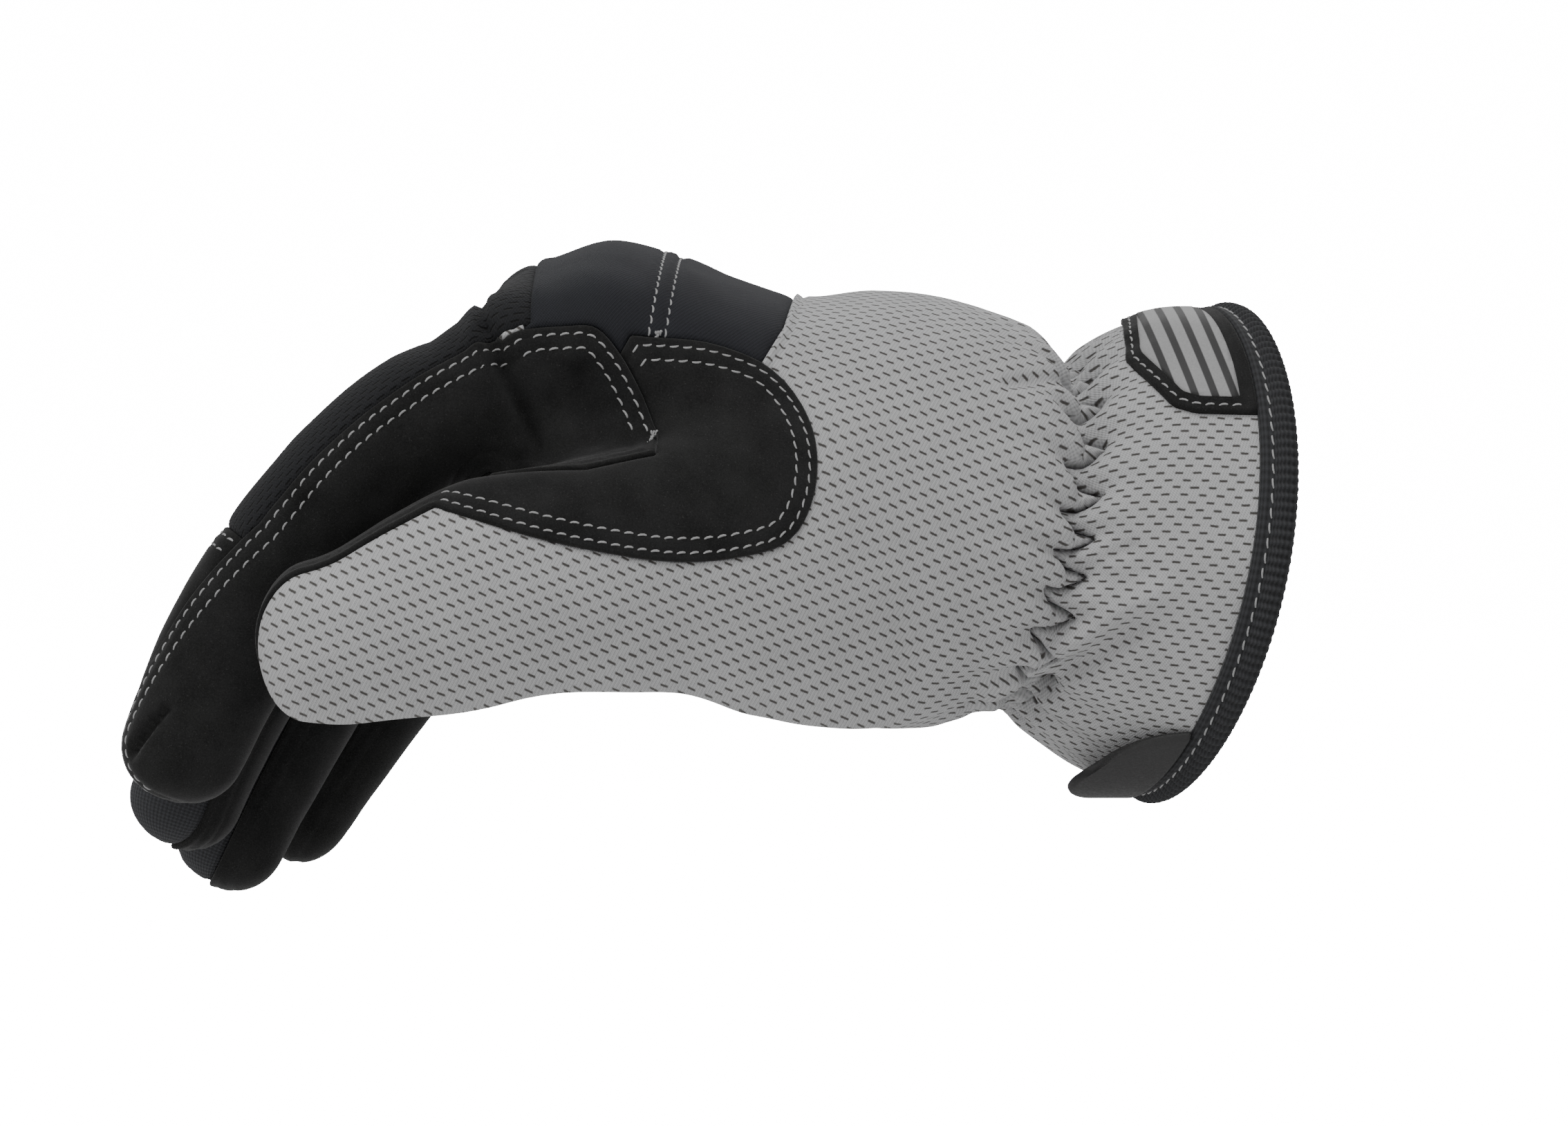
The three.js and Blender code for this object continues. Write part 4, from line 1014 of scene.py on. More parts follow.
def lines_at(skin, name, level, keep=None):
    """The lines on a skin along which a value is at a level, each as a list of point numbers."""
    on = np.abs(skin.values[name] - level) < 1e-5
    if keep is not None:
        on &= keep
    tri = skin.triangles
    edges = np.concatenate([tri[:, [0, 1]], tri[:, [1, 2]], tri[:, [2, 0]]])
    edges = np.unique(np.sort(edges[on[edges].all(1)], axis=1), axis=0)
    around = {}
    for a, b in edges.tolist():
        around.setdefault(a, []).append(b)
        around.setdefault(b, []).append(a)
    lines = []
    ends = [p for p, others in around.items() if len(others) == 1]
    for start in ends + list(around):
        line = [start]
        while around.get(line[-1]):
            here = line[-1]
            ahead = around[here].pop()
            around[ahead].remove(here)
            line.append(ahead)
        if len(line) > 2:
            lines.append(line)
    return lines


def smoothed(line, passes=3):
    line = line.copy()
    for _ in range(passes):
        line[1:-1] = (line[:-2] + 2 * line[1:-1] + line[2:]) / 4
    return line


class Thread:
    """Collects stitches, each a short bent tube that dives into the cloth at both ends."""

    sides = 6
    stations = np.array([-0.5, -0.38, -0.15, 0.15, 0.38, 0.5])
    widths = np.array([0.35, 0.85, 1.0, 1.0, 0.85, 0.35])
    lifts = np.array([-1.1, -0.1, 0.35, 0.35, -0.1, -1.1])
    slants = np.array([-0.24, -0.1, 0.08, 0.16, 0.14, 0.06])

    def __init__(self):
        self.points, self.faces, self.count = [], [], 0

    def row(self, line, normals, pitch=STITCH_PITCH, length=STITCH_LENGTH, radius=STITCH_RADIUS):
        gaps = np.linalg.norm(np.diff(line, axis=0), axis=1)
        keep = np.concatenate([[True], gaps > 1e-3])
        line, normals = line[keep], normals[keep]
        lengths = np.concatenate([[0], np.cumsum(np.linalg.norm(np.diff(line, axis=0), axis=1))])
        number = int(lengths[-1] / pitch)
        if number < 1:
            return
        step = lengths[-1] / number
        for k in range(number):
            at = (k + 0.5) * step + self.stations * length
            centre = np.stack([np.interp(at, lengths, line[:, i]) for i in range(3)], axis=1)
            normal = np.array([np.interp(at[2], lengths, normals[:, i]) for i in range(3)])
            normal /= max(np.linalg.norm(normal), 1e-6)
            ahead = centre[-1] - centre[0]
            size = np.linalg.norm(ahead)
            if size < length * 0.5:
                continue
            ahead /= size
            side = np.cross(normal, ahead)
            side /= max(np.linalg.norm(side), 1e-6)
            turn = 2 * np.pi * np.arange(self.sides) / self.sides
            ring = radius * (np.cos(turn)[:, None] * side + 0.8 * np.sin(turn)[:, None] * normal)
            middle = centre + normal * (self.lifts * radius)[:, None] + side * self.slants[:, None]
            points = (middle[:, None, :] + self.widths[:, None, None] * ring[None]).reshape(-1, 3)
            self.add(points)

    def crease_shadow_tube(self, line, normals, radius):
        """One long tube along a line, laid in the drawn-in crease as its painted shadow."""
        ahead = np.gradient(line, axis=0)
        side = np.cross(normals, ahead)
        side /= np.maximum(np.linalg.norm(side, axis=1), 1e-6)[:, None]
        turn = (2 * np.pi * np.arange(self.sides) / self.sides)[None, :, None]
        rings = line[:, None] + radius * (np.cos(turn) * side[:, None] + np.sin(turn) * normals[:, None])
        self.add(rings.reshape(-1, 3))

    def add(self, points):
        n, start = self.sides, self.count
        rings = len(points) // n
        for r in range(rings - 1):
            for i in range(n):
                a, b = start + r * n + i, start + r * n + (i + 1) % n
                self.faces.append((a, b, b + n))
                self.faces.append((a, b + n, a + n))
        last = start + (rings - 1) * n
        for i in range(1, n - 1):
            self.faces.append((start, start + i + 1, start + i))
            self.faces.append((last, last + i, last + i + 1))
        self.points.append(points)
        self.count += len(points)

    def piece(self, name, material):
        return mesh_object(name, np.concatenate(self.points), self.faces, material)


def sew(thread, skin, outer, name, level, keep=None, least=6.0):
    """A row of stitches along every line of a skin at the level."""
    for line in lines_at(skin, name, level, keep):
        points = smoothed(outer[line])
        if np.linalg.norm(np.diff(points, axis=0), axis=1).sum() > least:
            thread.row(points, smoothed(skin.values["normal"][line]))


# Materials

GREY_DASHES = dict(period=3.05, row=1.24, shift=0.46, length=1.4, width=0.36)
DARK_DASHES = dict(period=2.45, row=0.98, shift=0.45, length=1.5, width=0.26)
LOOP = 0.53  # pitch of the knit's own loops
FINE_LOOP = 0.5
BAR_PITCH = 3.4  # of the print on the patch


def grey(level, blue=0.0):
    return (level * (1 - blue), level * (1 - 0.6 * blue), level * (1 + blue), 1)


def toned(colour, share):
    return tuple(share * part for part in colour[:3]) + (1,)


class Shader:
    """A node material in the making. Its methods add one node or a few and return the last one's output."""

    def __init__(self, name):
        self.material = bpy.data.materials.new(name)
        self.material.use_nodes = True
        self.tree = self.material.node_tree
        self.tree.nodes.clear()
        self.surface = self.tree.nodes.new("ShaderNodeBsdfPrincipled")
        out = self.tree.nodes.new("ShaderNodeOutputMaterial")
        self.tree.links.new(self.surface.outputs["BSDF"], out.inputs["Surface"])

    def plug(self, socket, value):
        if isinstance(value, bpy.types.NodeSocket):
            self.tree.links.new(value, socket)
        else:
            socket.default_value = value

    def set(self, **sockets):
        """Sets the surface's sockets, whose names have _ here for a space."""
        for name, value in sockets.items():
            self.plug(self.surface.inputs[name.replace("_", " ")], value)

    def math(self, operation, *values):
        node = self.tree.nodes.new("ShaderNodeMath")
        node.operation = operation
        for socket, value in zip(node.inputs, values):
            self.plug(socket, value)
        return node.outputs[0]

    def sine(self, value, pitch):
        return self.math("SINE", self.math("MULTIPLY", value, 2 * math.pi / pitch))

    def half_up(self, value):
        """From 0 to 1 instead of from -1 to 1."""
        return self.math("MULTIPLY_ADD", value, 0.5, 0.5)

    def scaled(self, vector, factor):
        node = self.tree.nodes.new("ShaderNodeVectorMath")
        node.operation = "SCALE"
        node.inputs["Scale"].default_value = factor
        self.tree.links.new(vector, node.inputs[0])
        return node.outputs["Vector"]

    def weave(self):
        """The cloth coordinates, in millimetres."""
        node = self.tree.nodes.new("ShaderNodeUVMap")
        node.uv_map = "weave"
        return self.scaled(node.outputs["UV"], 1 / WEAVE_UNIT)

    def place(self):
        """The point in the part's own frame, in millimetres."""
        node = self.tree.nodes.new("ShaderNodeTexCoord")
        return self.scaled(node.outputs["Object"], 1 / MM)

    def parts(self, vector):
        node = self.tree.nodes.new("ShaderNodeSeparateXYZ")
        self.tree.links.new(vector, node.inputs[0])
        return node.outputs["X"], node.outputs["Y"], node.outputs["Z"]

    def noise(self, vector, lump, detail=2.0, roughness=0.5, colour=False):
        node = self.tree.nodes.new("ShaderNodeTexNoise")
        self.tree.links.new(vector, node.inputs["Vector"])
        node.inputs["Scale"].default_value = 1 / lump
        node.inputs["Detail"].default_value = detail
        node.inputs["Roughness"].default_value = roughness
        return node.outputs["Color" if colour else "Fac"]

    def between(self, value, low, high, to_low=0.0, to_high=1.0):
        """A value eased from one range to another."""
        node = self.tree.nodes.new("ShaderNodeMapRange")
        node.interpolation_type = "SMOOTHSTEP"
        for socket, number in zip(node.inputs[:5], (value, low, high, to_low, to_high)):
            self.plug(socket, number)
        return node.outputs["Result"]

    def blend(self, factor, low, high):
        node = self.tree.nodes.new("ShaderNodeMix")
        node.data_type = "RGBA"
        of_colours = [socket for socket in node.inputs if socket.type == "RGBA"]
        self.plug(node.inputs["Factor"], factor)
        self.plug(of_colours[0], low)
        self.plug(of_colours[1], high)
        return next(socket for socket in node.outputs if socket.type == "RGBA")

    def bump(self, height, strength, depth):
        node = self.tree.nodes.new("ShaderNodeBump")
        self.plug(node.inputs["Height"], height)
        node.inputs["Strength"].default_value = strength
        node.inputs["Distance"].default_value = depth * MM
        self.tree.links.new(node.outputs["Normal"], self.surface.inputs["Normal"])


def dashes(shader, cloth, period, row, shift, length, width):
    """1 in the slots of an open-mesh knit, on staggered rows."""
    push = shader.tree.nodes.new("ShaderNodeVectorMath")
    push.operation = "MULTIPLY_ADD"
    shader.tree.links.new(shader.noise(cloth, lump=2.2, detail=1.0, colour=True), push.inputs[0])
    push.inputs[1].default_value = (0.5, 0.3, 0)
    shader.tree.links.new(cloth, push.inputs[2])
    u, v, _ = shader.parts(push.outputs[0])
    rows = shader.math("DIVIDE", v, row)
    nearest = shader.math("ROUND", rows)
    off_row = shader.math("ABSOLUTE", shader.math("SUBTRACT", rows, nearest))
    steps = shader.math("MULTIPLY_ADD", nearest, shift, shader.math("DIVIDE", u, period))
    off_step = shader.math("ABSOLUTE", shader.math("SUBTRACT", steps, shader.math("ROUND", steps)))
    narrow = shader.between(off_row, width / row * 0.8, width / row * 0.2)
    short = shader.between(off_step, length / period * 0.6, length / period * 0.36)
    return shader.math("MULTIPLY", narrow, short)


def loops(shader, cloth, pitch, slant, stretch=1.25):
    """The small loops of a knit, from 0 between them to 1 on them."""
    u, v, _ = shader.parts(cloth)
    wave = shader.sine(shader.math("MULTIPLY_ADD", v, slant, u), pitch)
    cross = shader.sine(v, pitch * stretch)
    return shader.half_up(shader.math("MULTIPLY", wave, cross))


def mesh_knit(name, thread, slot_shade, sheen, slots):
    shader = Shader(name)
    cloth = shader.weave()
    slot_mask = dashes(shader, cloth, **slots)
    loop = loops(shader, cloth, LOOP, slant=0.45)
    cloud = shader.noise(shader.place(), lump=9, detail=3)
    fuzz = shader.noise(shader.place(), lump=0.22)
    shade = shader.math("MULTIPLY_ADD", fuzz, 0.5, shader.math("MULTIPLY_ADD", loop, 0.65, 0.25))
    shade = shader.math("MULTIPLY", shade, shader.between(cloud, 0.25, 0.75, 0.93, 1.06))
    cloth_colour = shader.blend(shade, toned(thread, 0.42), toned(thread, 1.25))
    # the slots are coloured dark: painted shade inside the open holes of the knit
    shader.set(Base_Color=shader.blend(slot_mask, cloth_colour, slot_shade), Roughness=0.88)
    shader.set(Sheen_Weight=sheen, Sheen_Roughness=0.5, Specular_IOR_Level=0.25)
    height = shader.math("SUBTRACT", shader.math("MULTIPLY", loop, 0.35), slot_mask)
    shader.bump(height, strength=0.7, depth=0.3)
    return shader.material


def fine_knit(name, thread, sheen):
    shader = Shader(name)
    loop = loops(shader, shader.weave(), FINE_LOOP, slant=0.2)
    fuzz = shader.noise(shader.place(), lump=0.25, detail=3)
    cloud = shader.noise(shader.place(), lump=8, detail=3)
    shade = shader.math("ADD", shader.math("MULTIPLY", loop, 0.5), shader.math("MULTIPLY", fuzz, 0.5))
    shade = shader.math("MULTIPLY", shade, shader.between(cloud, 0.25, 0.75, 0.85, 1.1))
    shader.set(Base_Color=shader.blend(shade, toned(thread, 0.4), toned(thread, 1.7)), Roughness=0.85)
    shader.set(Sheen_Weight=sheen, Sheen_Roughness=0.45, Specular_IOR_Level=0.25)
    shader.bump(shade, strength=0.6, depth=0.2)
    return shader.material


def rib_knit(name, thread):
    shader = Shader(name)
    u, v, _ = shader.parts(shader.weave())
    rib = shader.half_up(shader.sine(v, 0.9))
    stitch = shader.half_up(shader.sine(u, 0.6))
    fuzz = shader.noise(shader.place(), lump=0.25, detail=3)
    shade = shader.math("ADD", shader.math("MULTIPLY", rib, 0.4), shader.math("MULTIPLY", stitch, 0.35))
    shade = shader.math("MULTIPLY_ADD", fuzz, 0.3, shade)
    shader.set(Base_Color=shader.blend(shade, toned(thread, 0.35), toned(thread, 1.8)), Roughness=0.88)
    shader.set(Sheen_Weight=0.06)
    shader.bump(shade, strength=0.8, depth=0.3)
    return shader.material


def suede(name, low, high, sheen):
    shader = Shader(name)
    at = shader.place()
    nap = shader.noise(at, lump=0.3, detail=4, roughness=0.7)
    cloud = shader.noise(at, lump=6, detail=3)
    speck = shader.between(shader.noise(at, lump=0.28, detail=1), 0.66, 0.76)
    shade = shader.math("ADD", shader.math("MULTIPLY", nap, 0.7), shader.math("MULTIPLY", cloud, 0.45))
    colour = shader.blend(shader.between(shade, 0.3, 0.8), low, high)
    colour = shader.blend(shader.math("MULTIPLY", speck, 0.35), colour, toned(high, 3.2))
    shader.set(Base_Color=colour, Roughness=0.93)
    shader.set(Sheen_Weight=sheen, Sheen_Roughness=0.4, Specular_IOR_Level=0.15)
    shader.bump(nap, strength=0.5, depth=0.12)
    return shader.material


def thread_material():
    shader = Shader("thread")
    at = shader.place()
    shade = shader.noise(at, lump=0.3)
    shader.set(Base_Color=shader.blend(shade, grey(0.24), grey(0.5)), Roughness=0.7)
    shader.bump(shader.noise(at, lump=0.12), strength=0.4, depth=0.05)
    return shader.material


def crease_shadow_material():
    """Painted shadow: a near-black tube in the bottom of the drawn-in crease, standing in for the crease's
    shade.
    """
    shader = Shader("crease_shadow_tube")
    shade = shader.noise(shader.place(), lump=0.5)
    shader.set(Base_Color=shader.blend(shade, grey(0.03), grey(0.12)), Roughness=0.9)
    return shader.material


def tape_material():
    shader = Shader("tape")
    u, v, _ = shader.parts(shader.weave())
    weft = shader.half_up(shader.sine(u, 0.75))
    rib = shader.math("COSINE", shader.math("MULTIPLY", v, 2 * math.pi / RIB_PITCH))
    fuzz = shader.noise(shader.place(), lump=0.2, detail=3)
    shade = shader.math("ADD", shader.math("MULTIPLY", weft, 0.35), shader.math("MULTIPLY", fuzz, 0.4))
    # the ribs are painted lighter on their crests and darker between them: painted highlight and shade over
    # the tape's real ribs
    shade = shader.math("MULTIPLY_ADD", rib, 0.14, shade)
    shader.set(Base_Color=shader.blend(shade, grey(0.006, 0.06), grey(0.055, 0.06)), Roughness=0.85)
    shader.set(Sheen_Weight=0.05)
    shader.bump(shade, strength=0.6, depth=0.15)
    return shader.material


def tab_material():
    shader = Shader("tab")
    grain = shader.noise(shader.place(), lump=0.5, detail=4)
    rough = shader.between(grain, 0.3, 0.7, 0.5, 0.68)
    shader.set(Base_Color=shader.blend(grain, grey(0.016), grey(0.034)), Roughness=rough)
    shader.bump(grain, strength=0.3, depth=0.08)
    return shader.material


def print_material():
    """Plain light print with a few slanting bars left open."""
    shader = Shader("patch_print")
    at = shader.place()
    x, _, z = shader.parts(at)
    slant = shader.math("MULTIPLY_ADD", z, 0.35, x)
    stripe = shader.math("FRACT", shader.math("DIVIDE", slant, BAR_PITCH))
    bar = shader.math("MULTIPLY", shader.between(stripe, 0.06, 0.14), shader.between(stripe, 0.54, 0.46))
    grain = shader.noise(at, lump=0.35, detail=3)
    light = shader.blend(grain, grey(0.26), grey(0.4))
    shader.set(Base_Color=shader.blend(bar, light, grey(0.025)), Roughness=0.6)
    shader.bump(grain, strength=0.4, depth=0.06)
    return shader.material


# the third colour of each open knit is painted shade for its slots
GREY_KNIT = mesh_knit("grey_knit", grey(0.45, 0.005), (0.085, 0.08, 0.074, 1), 0.05, GREY_DASHES)
DARK_MESH = mesh_knit("dark_mesh", grey(0.016, 0.07), grey(0.007), 0.06, DARK_DASHES)
DARK_KNIT = fine_knit("dark_knit", grey(0.021, 0.12), 0.06)
SUEDE = suede("suede", grey(0.0085), grey(0.025), 0.16)
RIB = rib_knit("rib_knit", grey(0.026, 0.08))
THREAD = thread_material()
CREASE_SHADOW = crease_shadow_material()
TAPE = tape_material()
TAB = tab_material()
PRINT = print_material()


# Camera, light and ground

CAMERA_PLACE = (-0.0759, -1.4, -0.0017)  # metres, as all of this section
LENS = 183.3
FAR_CLIP = 50
LIT_POINT = (-0.1, 0, 0)
FLOOR_LEVEL = -0.112
FLOOR_REACH = 12
WHITE = 16.0  # brightness of the backdrop and the floor as they are looked at
AMBIENT = 0.4  # brightness with which the backdrop lights the glove
LIGHTS = [
    dict(name="key", place=(-0.35, -0.85, 1.9), size=(1.1, 1.1), power=22),
    dict(name="fill", place=(-1.5, -1.0, -0.05), size=(1.0, 0.4), power=4.5),
    dict(name="side", place=(1.3, -1.3, 0.6), size=(1.0, 1.0), power=1.5),
    dict(name="back", place=(0.1, 1.4, 1.3), size=(1.6, 0.8), power=9),
]


def make_camera():
    camera = bpy.data.objects.new("camera", bpy.data.cameras.new("camera"))
    camera.data.sensor_width = 36
    camera.data.lens = LENS
    camera.location = CAMERA_PLACE
    camera.rotation_euler = (math.pi / 2, 0, 0)
    camera.data.clip_end = FAR_CLIP
    bpy.context.scene.collection.objects.link(camera)
    bpy.context.scene.camera = camera


def make_light(name, place, size, power):
    light = bpy.data.lights.new(name, "AREA")
    light.shape = "RECTANGLE"
    light.size, light.size_y = size
    light.energy = power
    lamp = bpy.data.objects.new(name, light)
    lamp.location = place
    lamp.rotation_euler = (Vector(LIT_POINT) - Vector(place)).to_track_quat("-Z", "Y").to_euler()
    bpy.context.scene.collection.objects.link(lamp)


def looked_at(tree, seen, otherwise):
    """A strength for rays that meet the ground straight away, and another for the light that it sheds."""
    path = tree.nodes.new("ShaderNodeLightPath")
    node = tree.nodes.new("ShaderNodeMath")
    node.operation = "MULTIPLY_ADD"
    tree.links.new(path.outputs["Is Camera Ray"], node.inputs[0])
    node.inputs[1].default_value = seen - otherwise
    node.inputs[2].default_value = otherwise
    return node.outputs[0]


def make_floor():
    mesh = bpy.data.meshes.new("floor")
    corners = [(-FLOOR_REACH, -FLOOR_REACH, 0), (FLOOR_REACH, -FLOOR_REACH, 0),
               (FLOOR_REACH, FLOOR_REACH, 0), (-FLOOR_REACH, FLOOR_REACH, 0)]
    mesh.from_pydata(corners, [], [(0, 1, 2, 3)])
    shader = Shader("floor")
    strength = looked_at(shader.tree, WHITE, 0.0)
    shader.set(Base_Color=grey(0.8), Roughness=0.9, Emission_Color=grey(1.0), Emission_Strength=strength)
    mesh.materials.append(shader.material)
    floor = bpy.data.objects.new("floor", mesh)
    floor.location.z = FLOOR_LEVEL
    bpy.context.scene.collection.objects.link(floor)


def make_backdrop():
    world = bpy.data.worlds.new("studio")
    bpy.context.scene.world = world
    world.use_nodes = True
    background = world.node_tree.nodes["Background"]
    background.inputs["Color"].default_value = (1, 1, 1, 1)
    strength = looked_at(world.node_tree, WHITE, AMBIENT)
    world.node_tree.links.new(strength, background.inputs["Strength"])


# The glove, cut into its panels in the same order as the solids

def lined_skin():
    points, triangles = grown_skin()
    c = coordinates(points)
    skin = Skin(points, triangles, {"rim": c["place"] - RIM_X})
    skin, _ = skin.split("rim")
    c = coordinates(skin.points)
    offset = gather_offset(c)
    near_wrist = (np.abs(offset) < GATHER_REACH) & (np.abs(c["place"] - WRIST_X) < 12) & (c["off_body"] < 3)
    skin.values = {"gather": np.where(near_wrist, offset, float(GATHER_REACH))}
    for level in GATHER_LINES:
        skin = skin.with_line("gather", level)
    return skin


def all_regions(c):
    """Panel names with their region's values, in cutting order."""
    regions = [("palm", palm_region(c)), ("thumb", thumb_region(c))]
    regions += [("cap_" + f["name"], finger_back(f, c, 1 - CAP_SHARE)) for f in FINGERS]
    before = c["x"] - KNUCKLE_FRONT
    regions += [("back_" + f["name"], every(finger_back(f, c, FINGER_START), before)) for f in FINGERS]
    for first, second in zip(FINGERS[:-1], FINGERS[1:]):
        value = any_of(strip_side(first, c, 1, "far"), strip_side(second, c, -1, "near"))
        regions.append(("strip_" + first["name"] + "_" + second["name"], value))
    regions.append(("knuckle", knuckle_region(c)))
    return regions


def border_points(part):
    """Closely spaced points along the edge of a piece of skin."""
    edges = part.edge_loops()
    a, b = part.points[edges[:, 0]], part.points[edges[:, 1]]
    return np.concatenate([mix(a, b, t) for t in (0, 0.25, 0.5, 0.75)])


def distance_to(points, targets):
    if not len(targets):
        return np.full(len(points), 99.0)
    tree = KDTree(len(targets))
    for k, target in enumerate(targets):
        tree.insert(target, k)
    tree.balance()
    return np.array([tree.find(point)[2] for point in points])


def set_depths(part, over):
    """Distances to the part's own free edge, and to the edges of the panels that lie over it."""
    border = border_points(part)
    own = border[distance_to(border, over) > 0.3]
    for name, targets in (("depth", own), ("covered", over)):
        gap = distance_to(part.points, targets)
        part.values[name] = np.where(gap < 1e-3, 0.0, gap)


def cut_panels(skin):
    """Each panel's piece of skin, with the depth inside its own edge and the distance to panels over it."""
    names = [name for name, _ in all_regions(coordinates(skin.points[:4]))]
    panels = {}
    rest = skin
    for name in names:
        values = dict(all_regions(coordinates(rest.points)))
        rest.values = {"gather": rest.values["gather"], "own": values[name]}
        panels[name], rest = rest.split("own")
    panels["grey"] = rest
    over = np.zeros((0, 3))
    for name in [name for name in names if name != "knuckle"] + ["grey", "knuckle"]:
        set_depths(panels[name], over)
        over = np.concatenate([over, border_points(panels[name])])
    return panels


def finish_values(part):
    """Adds the normal and the relief to a piece of skin that has all its lines."""
    c = coordinates(part.points)
    slopes = field_slopes(part.points)
    part.values["normal"] = slopes / np.linalg.norm(slopes, axis=1)[:, None]
    part.values["relief"] = relief(c, part.points)
    return c


def with_levels(part, name, levels):
    for level in levels:
        part = part.with_line(name, level)
    return part


def raised(part, height, levels=()):
    """The panel's height over the skin, with grooves where stitch rows run."""
    depth, covered = part.values["depth"], part.values["covered"]
    total = height(depth, covered)
    for level in levels:
        total = total + groove(depth, level)
    return total


def suede_panel(name, part, node, height=suede_height):
    rows = (OUTER_ROW, INNER_ROW)
    part = with_levels(part, "depth", (0.15, EDGE_ROUND, *rows))
    part = with_levels(part, "covered", (0.6, 1.6))
    finish_values(part)
    piece, outer = thick_piece(name, part, raised(part, height, rows), SUEDE)
    belongs(piece, "suede", node)
    return part, outer


def knit_panel(name, part, node, material, slot, weave, height=knit_height):
    part = with_levels(part, "depth", (0.4, 1.1))
    part = with_levels(part, "covered", (0.4, 1.1))
    cloth = weave(finish_values(part))
    piece, outer = thick_piece(name, part, raised(part, height), material)
    add_weave(piece, np.concatenate([cloth, cloth]))
    belongs(piece, slot, node)
    return piece, part, outer


WEB_TACK = (-98.5, 19.9)  # where the rows over the web end, seen from the thumb side
KNUCKLE_TACK = (-96.3, 37.2)
FINGER_FROM = -124  # place along the arm where the palm's rows pass from the web to the index finger
NOTCH = (-126.5, -119)  # the rows leave out the notch between the two
NOTCH_HEIGHT = 36.2


def tack(thread, part, outer, place):
    """A short dense bar of stitches on the thumb side."""
    x, y, z = part.points.T
    gap = np.hypot(x - place[0], z - place[1])
    near = np.flatnonzero(gap < gap.min() + 1)
    k = near[y[near].argmin()]
    steps = np.linspace(-1, 1, 5)[:, None]
    normals = np.repeat(part.values["normal"][k][None], len(steps), axis=0)
    for lean in (-0.5, 0, 0.5):
        line = outer[k] + steps * np.array([0.5 + lean, 0, 1.3]) + 0.1 * normals
        thread.row(line, normals, pitch=0.7, length=1.0, radius=0.24)


def make_palm(part):
    part, outer = suede_panel("palm", part, "palm_panel")
    x, y, z = part.points.T
    _, across, up = coordinates(part.points)["index"]
    on_web = (x > FINGER_FROM) & (z > 20)
    on_finger = (x <= FINGER_FROM) & (across < 0) & (up > OUTER_ROW)
    at_notch = (x > NOTCH[0]) & (x < NOTCH[1]) & (z > NOTCH_HEIGHT)
    shows = (on_web | on_finger) & ~at_notch & (y < -PALM_SIDE * HAND_WIDTH + 6)
    thread = Thread()
    for row in (OUTER_ROW, INNER_ROW):
        sew(thread, part, outer, "depth", row, shows)
    tack(thread, part, outer, WEB_TACK)
    belongs(thread.piece("palm_stitches", THREAD), "grey_knit")


def make_thumb(part):
    part, outer = suede_panel("thumb", part, "thumb_panel")
    clear = (part.values["covered"] > OUTER_ROW) & (part.points[:, 0] > -134)
    thread = Thread()
    for row in (OUTER_ROW, INNER_ROW):
        sew(thread, part, outer, "depth", row, clear)
    belongs(thread.piece("thumb_stitches", THREAD), "grey_knit")


def make_caps(panels):
    thread = Thread()
    for finger in FINGERS:
        name = "cap_" + finger["name"]
        part, outer = suede_panel(name, panels[name], "fingertip_cap_" + finger["name"], cap_height)
        along = coordinates(part.points)[finger["name"]][0]
        at_start = along < (1 - CAP_SHARE) * finger["length"] + 6
        for row in (OUTER_ROW, INNER_ROW):
            sew(thread, part, outer, "depth", row, at_start & (part.values["covered"] > 1))
    belongs(thread.piece("cap_stitches", THREAD), "grey_knit")


def make_backs(panels):
    for finger in FINGERS:
        name = "back_" + finger["name"]
        knit_panel(name, panels[name], "finger_back_" + finger["name"], DARK_MESH, "dark_mesh", finger_weave)


def make_strips(panels):
    for first, second in zip(FINGERS[:-1], FINGERS[1:]):
        pair = first["name"] + "_" + second["name"]
        name = "strip_" + pair
        knit_panel(name, panels[name], "fourchette_" + pair, RIB, "rib_knit", finger_weave)


def make_knuckles(part):
    part.values["pad"] = pad_place(coordinates(part.points))
    part = with_levels(part, "pad", PAD_ROWS)
    piece, part, outer = knit_panel("knuckles", part, "knuckle_panel", DARK_KNIT, "dark_knit", knuckle_weave)
    thread = Thread()
    for level in PAD_ROWS:
        sew(thread, part, outer, "pad", level)
    tack(thread, part, outer, KNUCKLE_TACK)
    belongs(thread.piece("knuckle_stitches", THREAD), "grey_knit")


def make_grey(part):
    on_cuff = gather_offset(coordinates(part.points))[part.triangles].mean(1) > 0
    for name, keep, is_cuff in (("grey_hand", ~on_cuff, False), ("grey_cuff", on_cuff, True)):
        _, half, outer = knit_panel(name, part.picked(keep), "grey_knit_body", GREY_KNIT, "grey_knit",
                                    lambda c: body_weave(c, is_cuff), grey_height)
    thread = Thread()
    # a dark tube along the gather line paints the shadow in the drawn-in crease
    for line in lines_at(half, "gather", 0.0):
        thread.crease_shadow_tube(smoothed(outer[line], 1), half.values["normal"][line], CREASE_SHADOW_RADIUS)
    belongs(thread.piece("painted_crease_shadow", CREASE_SHADOW), "grey_knit")


def ring_points(place, offset, turns):
    """Points round the hand's section at places along the arm, grown outwards by offsets."""
    half_width = (body_value(place, "far") - body_value(place, "near")) / 2 + offset
    half_depth = (body_value(place, "top") - body_value(place, "bottom")) / 2 + offset
    y = (body_value(place, "far") + body_value(place, "near")) / 2 - half_width * np.cos(turns)
    z = (body_value(place, "top") + body_value(place, "bottom")) / 2 + half_depth * np.sin(turns)
    x = place + body_value(place, "lean") * z - body_value(place, "swing") * y
    x = x - body_value(place, "bow") * (2 * z / CUFF_DEPTH) ** 2
    return np.stack(np.broadcast_arrays(x, y, z), axis=-1)


